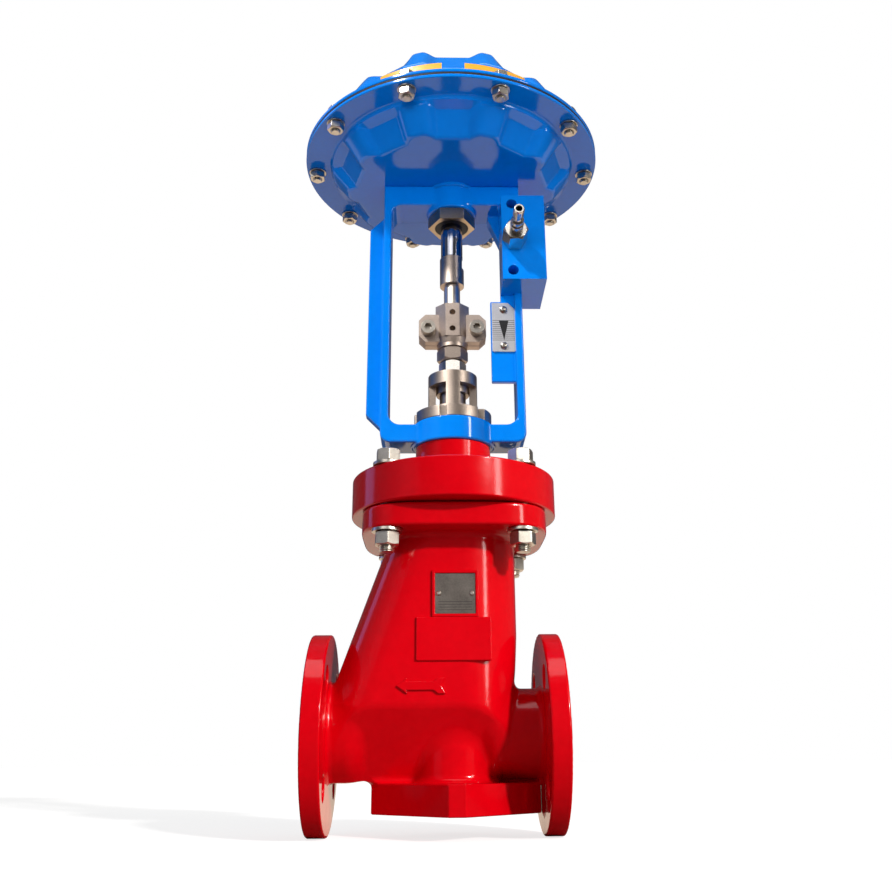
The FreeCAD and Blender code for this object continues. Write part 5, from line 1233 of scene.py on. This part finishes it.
# %% Ruled lines of the nameplate
PLATE_FRONT, RULE_STEP = TRUNK_FRONT - 1, 2.1
rule = pushed_out("rule", rectangle(-13, 13, 163.2, 163.5), PLATE_FRONT - FILM, PLATE_FRONT + 0.1)
grown(rule, row_tree, Count=4, Step=(0, 0, RULE_STEP * MM), Finish=black_film)
dress(rule, "nameplate", material=black_film)
print("ruled lines", len(rule.data.polygons), "faces")

# %% [markdown]
# ## Button screws on the scale
# Two small screws with domed heads hold the scale. The dome is spun, and the hexagon socket for
# the key is cut out of it.

# %% Scale screws
TO_FRONT = Matrix.Rotation(math.radians(90), 4, "X")
SCREW_X, SCREW_LEVELS, SCREW_END = 45.3, (399.2, 434.35), 7.5


def button_screw(z):
    dome = [(2, SCREW_END), (2, 14.5), (3.5, 14.5), (3.4, 15.3), (2.2, 16.6), (0, 16.9)]
    rings = [(0, SCREW_END), *soften(dome, (0, 0, 0.2, 0.8, 2.5, 0), 4)]
    button = spin("button", rings, 48, angle=40)
    cut(button, [hex_head("key", 2.5, 15.7, 18)])
    return moved(sharpened(button, 40), x=SCREW_X, z=z, turn=TO_FRONT)


screws = dress(together("button_screws", [button_screw(z) for z in SCREW_LEVELS]), "scale_screws")
print("scale screws", len(screws.data.polygons), "faces")

# %% [markdown]
# ## Plug of the quick coupling
# The air hose snaps onto a hard chromed plug. Its tip seals, the groove behind it takes the locking
# balls, and collars lead back to the hexagon. It is one turned part, spun from its profile.

# %% Air nipple
NIPPLE_X, NIPPLE_LEVEL = 54.5, 487.1
profile = [(2.5, 65), (5.9, 65), (5.9, 73.4), (4.7, 74.6), (4.7, 76.2), (5.4, 76.9), (5.4, 79.6),
           (3.7, 81.4), (3.5, 83), (3.5, 86.6), (4.7, 88.2), (4.7, 95.4), (4.2, 97), (2.8, 97), (2.5, 96.5)]
radii = (0, 0.2, 0.8, 0.4, 0.3, 0.5, 0.6, 0.8, 1.0, 1.0, 0.8, 0.6, 0.3, 0.3, 0)
nipple = spin("air_plug", soften(profile, radii, 3), 72, loop=True, angle=40)
moved(nipple, x=NIPPLE_X, z=NIPPLE_LEVEL, turn=TO_FRONT)
dress(nipple, "air_nipple")
print("nipple", len(nipple.data.polygons), "faces")

# %% [markdown]
# ## The diaphragm and its springs
# Both are hidden, but they are what makes the actuator work: air under the rubber lifts the plate
# and the stem against six coil springs. The rubber is spun from a profile that climbs along the
# pan's wall.

# %% Diaphragm
SEAT, SEAT_TOP, RUBBER_RIM = 565.1, 567.2, 137
profile = [(7, SEAT), (79, SEAT), (91, 581), (100.5, RUBBER_LOW), (RUBBER_RIM, RUBBER_LOW),
           (RUBBER_RIM, RUBBER_HIGH), (98, RUBBER_HIGH), (89, 582.5), (77, SEAT_TOP), (7, SEAT_TOP)]
radii = (0, 5, 8, 4, 0.3, 0.3, 4, 8, 5, 0)
diaphragm = spin("rubber_disc", soften(profile, radii, 5), 120, loop=True, angle=60)
dress(diaphragm, "diaphragm")
print("diaphragm", len(diaphragm.data.polygons), "faces")
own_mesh(diaphragm)

# %% [markdown]
# ## The springs
# Each is a coil of wire whose end turns lie flat on the plate. The wire's centre climbs slowly,
# then evenly, then slowly again, and a ring of corners is set round it at each step. One coil is
# made, and the ring tree repeats it.

# %% Springs
SPRING_LOW, SPRING_HIGH, COIL, WIRE, TURNS = 571.2, 647.4, 34.0, 4.0, 6
SPRING_CIRCLE, CLEAR = 116, 0.02


def coil_spring(name, along=26, around=10):
    """A coil whose ends lie flat: the first and last turns climb slowly."""
    steps = (TURNS + 1) * along
    share = np.arange(steps + 1) / steps
    climb = np.clip((share * (TURNS + 1) - 0.75) / (TURNS - 0.5), 0, 1)
    turn = share * (TURNS + 1) * 2 * math.pi
    level = SPRING_LOW + WIRE / 2 + CLEAR + climb * (SPRING_HIGH - SPRING_LOW - WIRE - 2 * CLEAR)
    ring = np.arange(around) / around * 2 * math.pi
    reach = COIL / 2 + np.cos(ring)[None, :] * WIRE / 2
    corners = np.stack([reach * np.cos(turn)[:, None], reach * np.sin(turn)[:, None],
                        level[:, None] + np.sin(ring)[None, :] * WIRE / 2], 2).reshape(-1, 3)
    return closed(shown(name, mesh_of(name, corners, bands(steps + 1, around, loop=False))), angle=60)


springs = ring_of(coil_spring("six_springs"), SPRING_CIRCLE, 6, 0, spring_steel)
print("springs", [round(v, 1) for v in springs.dimensions / MM])
dress(springs, "actuator_springs")
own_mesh(springs)

# %% [markdown]
# ## Floor and world
# The studio is plain. The floor is pale and keeps the valve's shadow, and the world is white where
# the camera, a mirror or glass looks at it. The light that falls on things is weaker, so that a
# colour looks as it was written.

# %% Floor
def seen_white(tree):
    """One where the camera, a mirror or glass looks, and zero for the light that falls on things."""
    kinds = ("Is Glossy Ray", "Is Transmission Ray", "Is Camera Ray")
    mirror, glass, camera_ray = (add(tree, "ShaderNodeLightPath", kind) for kind in kinds)
    return mirror.sum("MAXIMUM", glass).sum("MAXIMUM", camera_ray)


FLOOR_GLOW, FLOOR_SHADE, FLOOR_REACH = 0.75, 0.43, 60
floor_corners = [(x * FLOOR_REACH, y * FLOOR_REACH, 0) for x, y in ((-1, -1), (1, -1), (1, 1), (-1, 1))]
floor_mesh = bpy.data.meshes.new("studio_floor")
floor_mesh.from_pydata(floor_corners, [], [(0, 1, 2, 3)])
floor = shown("studio_floor", floor_mesh)
pale, floor_tree, floor_shader = finish("pale_floor", Roughness=0.9, Specular_IOR_Level=0.0)
floor_shader.inputs["Base Color"].default_value = (FLOOR_SHADE, FLOOR_SHADE, FLOOR_SHADE, 1)
floor_shader.inputs["Emission Color"].default_value = (1, 1, 1, 1)
feed(floor_tree, floor_shader.inputs["Emission Strength"], seen_white(floor_tree) * FLOOR_GLOW)
floor_mesh.materials.append(pale)
print("floor glow", FLOOR_GLOW)

# %% [markdown]
# ## The world
# One number is what the world gives as light, and the same Light Path sum as on the floor lifts it
# to white for the camera and the mirrors.

# %% World
world = bpy.data.worlds.new("studio")
bpy.context.scene.world = world
world.use_nodes = True
sky = world.node_tree
AMBIENT = 0.34
sky.nodes["Background"].inputs["Color"].default_value = (1, 1, 1, 1)
feed(sky, sky.nodes["Background"].inputs["Strength"], seen_white(sky) * (1 - AMBIENT) + AMBIENT)
print("ambient light", AMBIENT)

# %% [markdown]
# ## Cards for the reflections
# Glossy paint and bare steel show what stands in front of them, and an all white room would wash
# their colours out. Photographers stand cards round a thing, out of the picture. A dark one stands
# behind the camera, with lighter ones at both sides and a grey one behind the valve. A blue one
# lies above, with a bright one under its front half. The floor in front is dark and the floor
# behind is sand coloured, as the undersides show. Each card is a strip of a ring round the stem
# axis, between two edges of (reach, level) in metres, and only reflections see it.

# %% Cards
STRIPS, CARD_REACH, CARD_TOP, JUST_ABOVE_FLOOR = 24, 3.2, 4.5, 0.0005


def card(name, edges, first, last, colour, glow):
    """A card from one bearing to another, in degrees; the camera stands at bearing zero."""
    turns = [math.radians(first + (last - first) * step / STRIPS) for step in range(STRIPS + 1)]
    corners = [(reach * math.sin(turn), -reach * math.cos(turn), level)
               for turn in turns for reach, level in edges]
    faces = [(2 * s, 2 * s + 1, 2 * s + 3, 2 * s + 2) for s in range(STRIPS)]
    mesh = bpy.data.meshes.new(name)
    mesh.from_pydata(corners, [], faces)
    made = shown(name, mesh)
    paper, _, shader = finish(name, Roughness=0.9, Specular_IOR_Level=0.0)
    shader.inputs["Base Color"].default_value = (*colour, 1)
    shader.inputs["Emission Color"].default_value = (*colour, 1)
    shader.inputs["Emission Strength"].default_value = glow
    mesh.materials.append(paper)
    made.visible_camera = made.visible_diffuse = made.visible_shadow = made.visible_transmission = False


def lying(reach, level):
    return (0.0, level), (reach, level)


STANDING = ((CARD_REACH, 0.0), (CARD_REACH, CARD_TOP))
CARDS = (
    ("dark_card", STANDING, -38, 30, (0.10, 0.11, 0.15), 0.0),
    ("left_card", STANDING, -100, -38, (0.30, 0.36, 0.52), 0.0),
    ("blue_strip", STANDING, -116, -100, (0.35, 0.42, 1.0), 1.4),
    ("right_card", STANDING, 30, 125, (0.44, 0.42, 0.40), 0.0),
    ("card_behind", STANDING, 125, 244, (0.24, 0.24, 0.28), 0.0),
    ("card_above", lying(9.0, 4.6), -180, 180, (0.34, 0.46, 0.66), 0.0),
    ("bright_above", lying(2.2, 4.4), -90, 90, (0.9, 0.95, 1.0), 2.0),
    ("floor_in_front", lying(CARD_REACH, JUST_ABOVE_FLOOR), -100, 100, (0.10, 0.09, 0.08), 0.0),
    ("floor_behind", lying(6.0, JUST_ABOVE_FLOOR), 100, 260, (0.78, 0.64, 0.50), 0.85),
)
for row in CARDS:
    card(*row)
print("cards that only reflections see:", len(CARDS))

# %% [markdown]
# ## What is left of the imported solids
# The pieces inside are never seen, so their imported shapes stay, each with its own finish.

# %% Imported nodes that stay
replaced = {node for piece in bpy.data.objects for node in piece.get("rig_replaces", [])}
for node, piece in frame["nodes"].items():
    if node not in replaced:
        piece.data.materials.clear()
        piece.data.materials.append(SLOTS[slot_of[node]])
print("packed nodes kept:", len(frame["nodes"]) - len(replaced))

# %% [markdown]
# ## Lamps
# In the photograph the red body is lit from the right and the actuator from the left. Two soft
# suns do the same: Blender's light linking lets each shine on its own half only. A strip at the
# right draws the bright lines on the round parts, and a weak lamp at the left and one in front
# keep the shaded sides open without showing in the paint. Bare metal shows only what it reflects,
# so three panels are seen by reflections alone: one for the dull metals, one for the bright ones
# and one for the body's fasteners.

# %% Lamps
def aimed(name, data, place, aim):
    made = bpy.data.objects.new(name, data)
    made.location = place
    made.rotation_euler = (Vector(aim) - Vector(place)).to_track_quat("-Z", "Y").to_euler()
    bpy.context.scene.collection.objects.link(made)
    return made


def lamp(name, place, aim, size, watts, colour):
    data = bpy.data.lights.new(name, "AREA")
    data.shape, data.energy, data.color = "RECTANGLE", watts, colour
    data.size, data.size_y = size
    return aimed(name, data, place, aim)


def sun_lamp(name, toward, strength, colour):
    data = bpy.data.lights.new(name, "SUN")
    data.energy, data.angle, data.color = strength, math.radians(4), colour
    return aimed(name, data, toward, (0, 0, 0))


def shines_on(lights, name, pieces):
    """Lets some lamps light some pieces only."""
    wanted = bpy.data.collections.new(name)
    for piece in pieces:
        wanted.objects.link(piece)
    for light in lights:
        light.light_linking.receiver_collection = wanted


LOWER_NODES = {"valve_body", "nameplate", "nameplate_rivets", "bonnet", "bonnet_studs", "bonnet_nuts_lower",
               "bonnet_nuts_upper", "bonnet_washers_lower", "bonnet_washers_upper"}
BODY, MIDDLE, STEM = (0, 0, 0.25), (0, 0, 0.33), (0, 0, 0.5)
right_sun = sun_lamp("right_sun", (0.8, -1.0, 0.6), 2.8, (1.0, 0.97, 0.93))
left_sun = sun_lamp("left_sun", (-0.9, -1.0, 1.2), 2.8, (1.0, 0.98, 0.95))
lamp("right_strip", (1.16, -1.04, 0.75), MIDDLE, (0.17, 1.1), 7.5, (1.0, 0.97, 0.93))
left_fill = lamp("left_fill", (-1.5, -1.1, 0.6), MIDDLE, (0.5, 1.2), 2.0, (0.86, 0.9, 1.0))
front_fill = lamp("front_fill", (-0.3, -2.2, 0.3), STEM, (1.2, 0.9), 20.0, (1.0, 0.98, 0.96))
front_fill.visible_glossy = left_fill.visible_glossy = False
metal_panel = lamp("metal_panel", (-0.8, -1.85, 1.15), STEM, (1.4, 1.6), 11.0, (1.0, 0.97, 0.94))
bright_panel = lamp("bright_panel", (-0.2, -2.0, 1.2), STEM, (1.2, 1.6), 9.5, (1.0, 0.97, 0.94))
right_panel = lamp("right_panel", (1.7, -1.3, 0.5), BODY, (0.5, 1.3), 7.0, (1.0, 0.98, 0.95))
metal_panel.visible_diffuse = bright_panel.visible_diffuse = right_panel.visible_diffuse = False
print("lamps", len(bpy.data.lights))

# %% [markdown]
# ## Which lamp lights what
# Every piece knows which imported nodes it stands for, so it can be sorted into the lower half, with
# the floor, or the upper one. The bare metals are those that are neither painted nor the floor.

# %% Light linking
lower_pieces = [floor]
upper_pieces = []
for piece in bpy.data.objects:
    stands_for = set(piece.get("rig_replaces", [])) | ({piece.name} & set(frame["nodes"]))
    if stands_for:
        (lower_pieces if stands_for & LOWER_NODES else upper_pieces).append(piece)
shines_on([right_sun], "lit_from_the_right", lower_pieces)
shines_on([left_sun, front_fill], "lit_from_the_left", upper_pieces)
coated, bright = (body_red, yoke_blue, pale), (bright_steel, polished_stem)
bare = [piece for piece in lower_pieces + upper_pieces if piece.active_material not in coated]
shines_on([metal_panel], "dull_metals", [piece for piece in bare if piece.active_material != bright_steel])
shines_on([bright_panel], "bright_metals", [piece for piece in bare if piece.active_material in bright])
shines_on([right_panel], "lower_metals", [piece for piece in bare if piece in lower_pieces])
bpy.context.scene.view_settings.view_transform = "Standard"
print("lower pieces", len(lower_pieces), "upper pieces", len(upper_pieces))
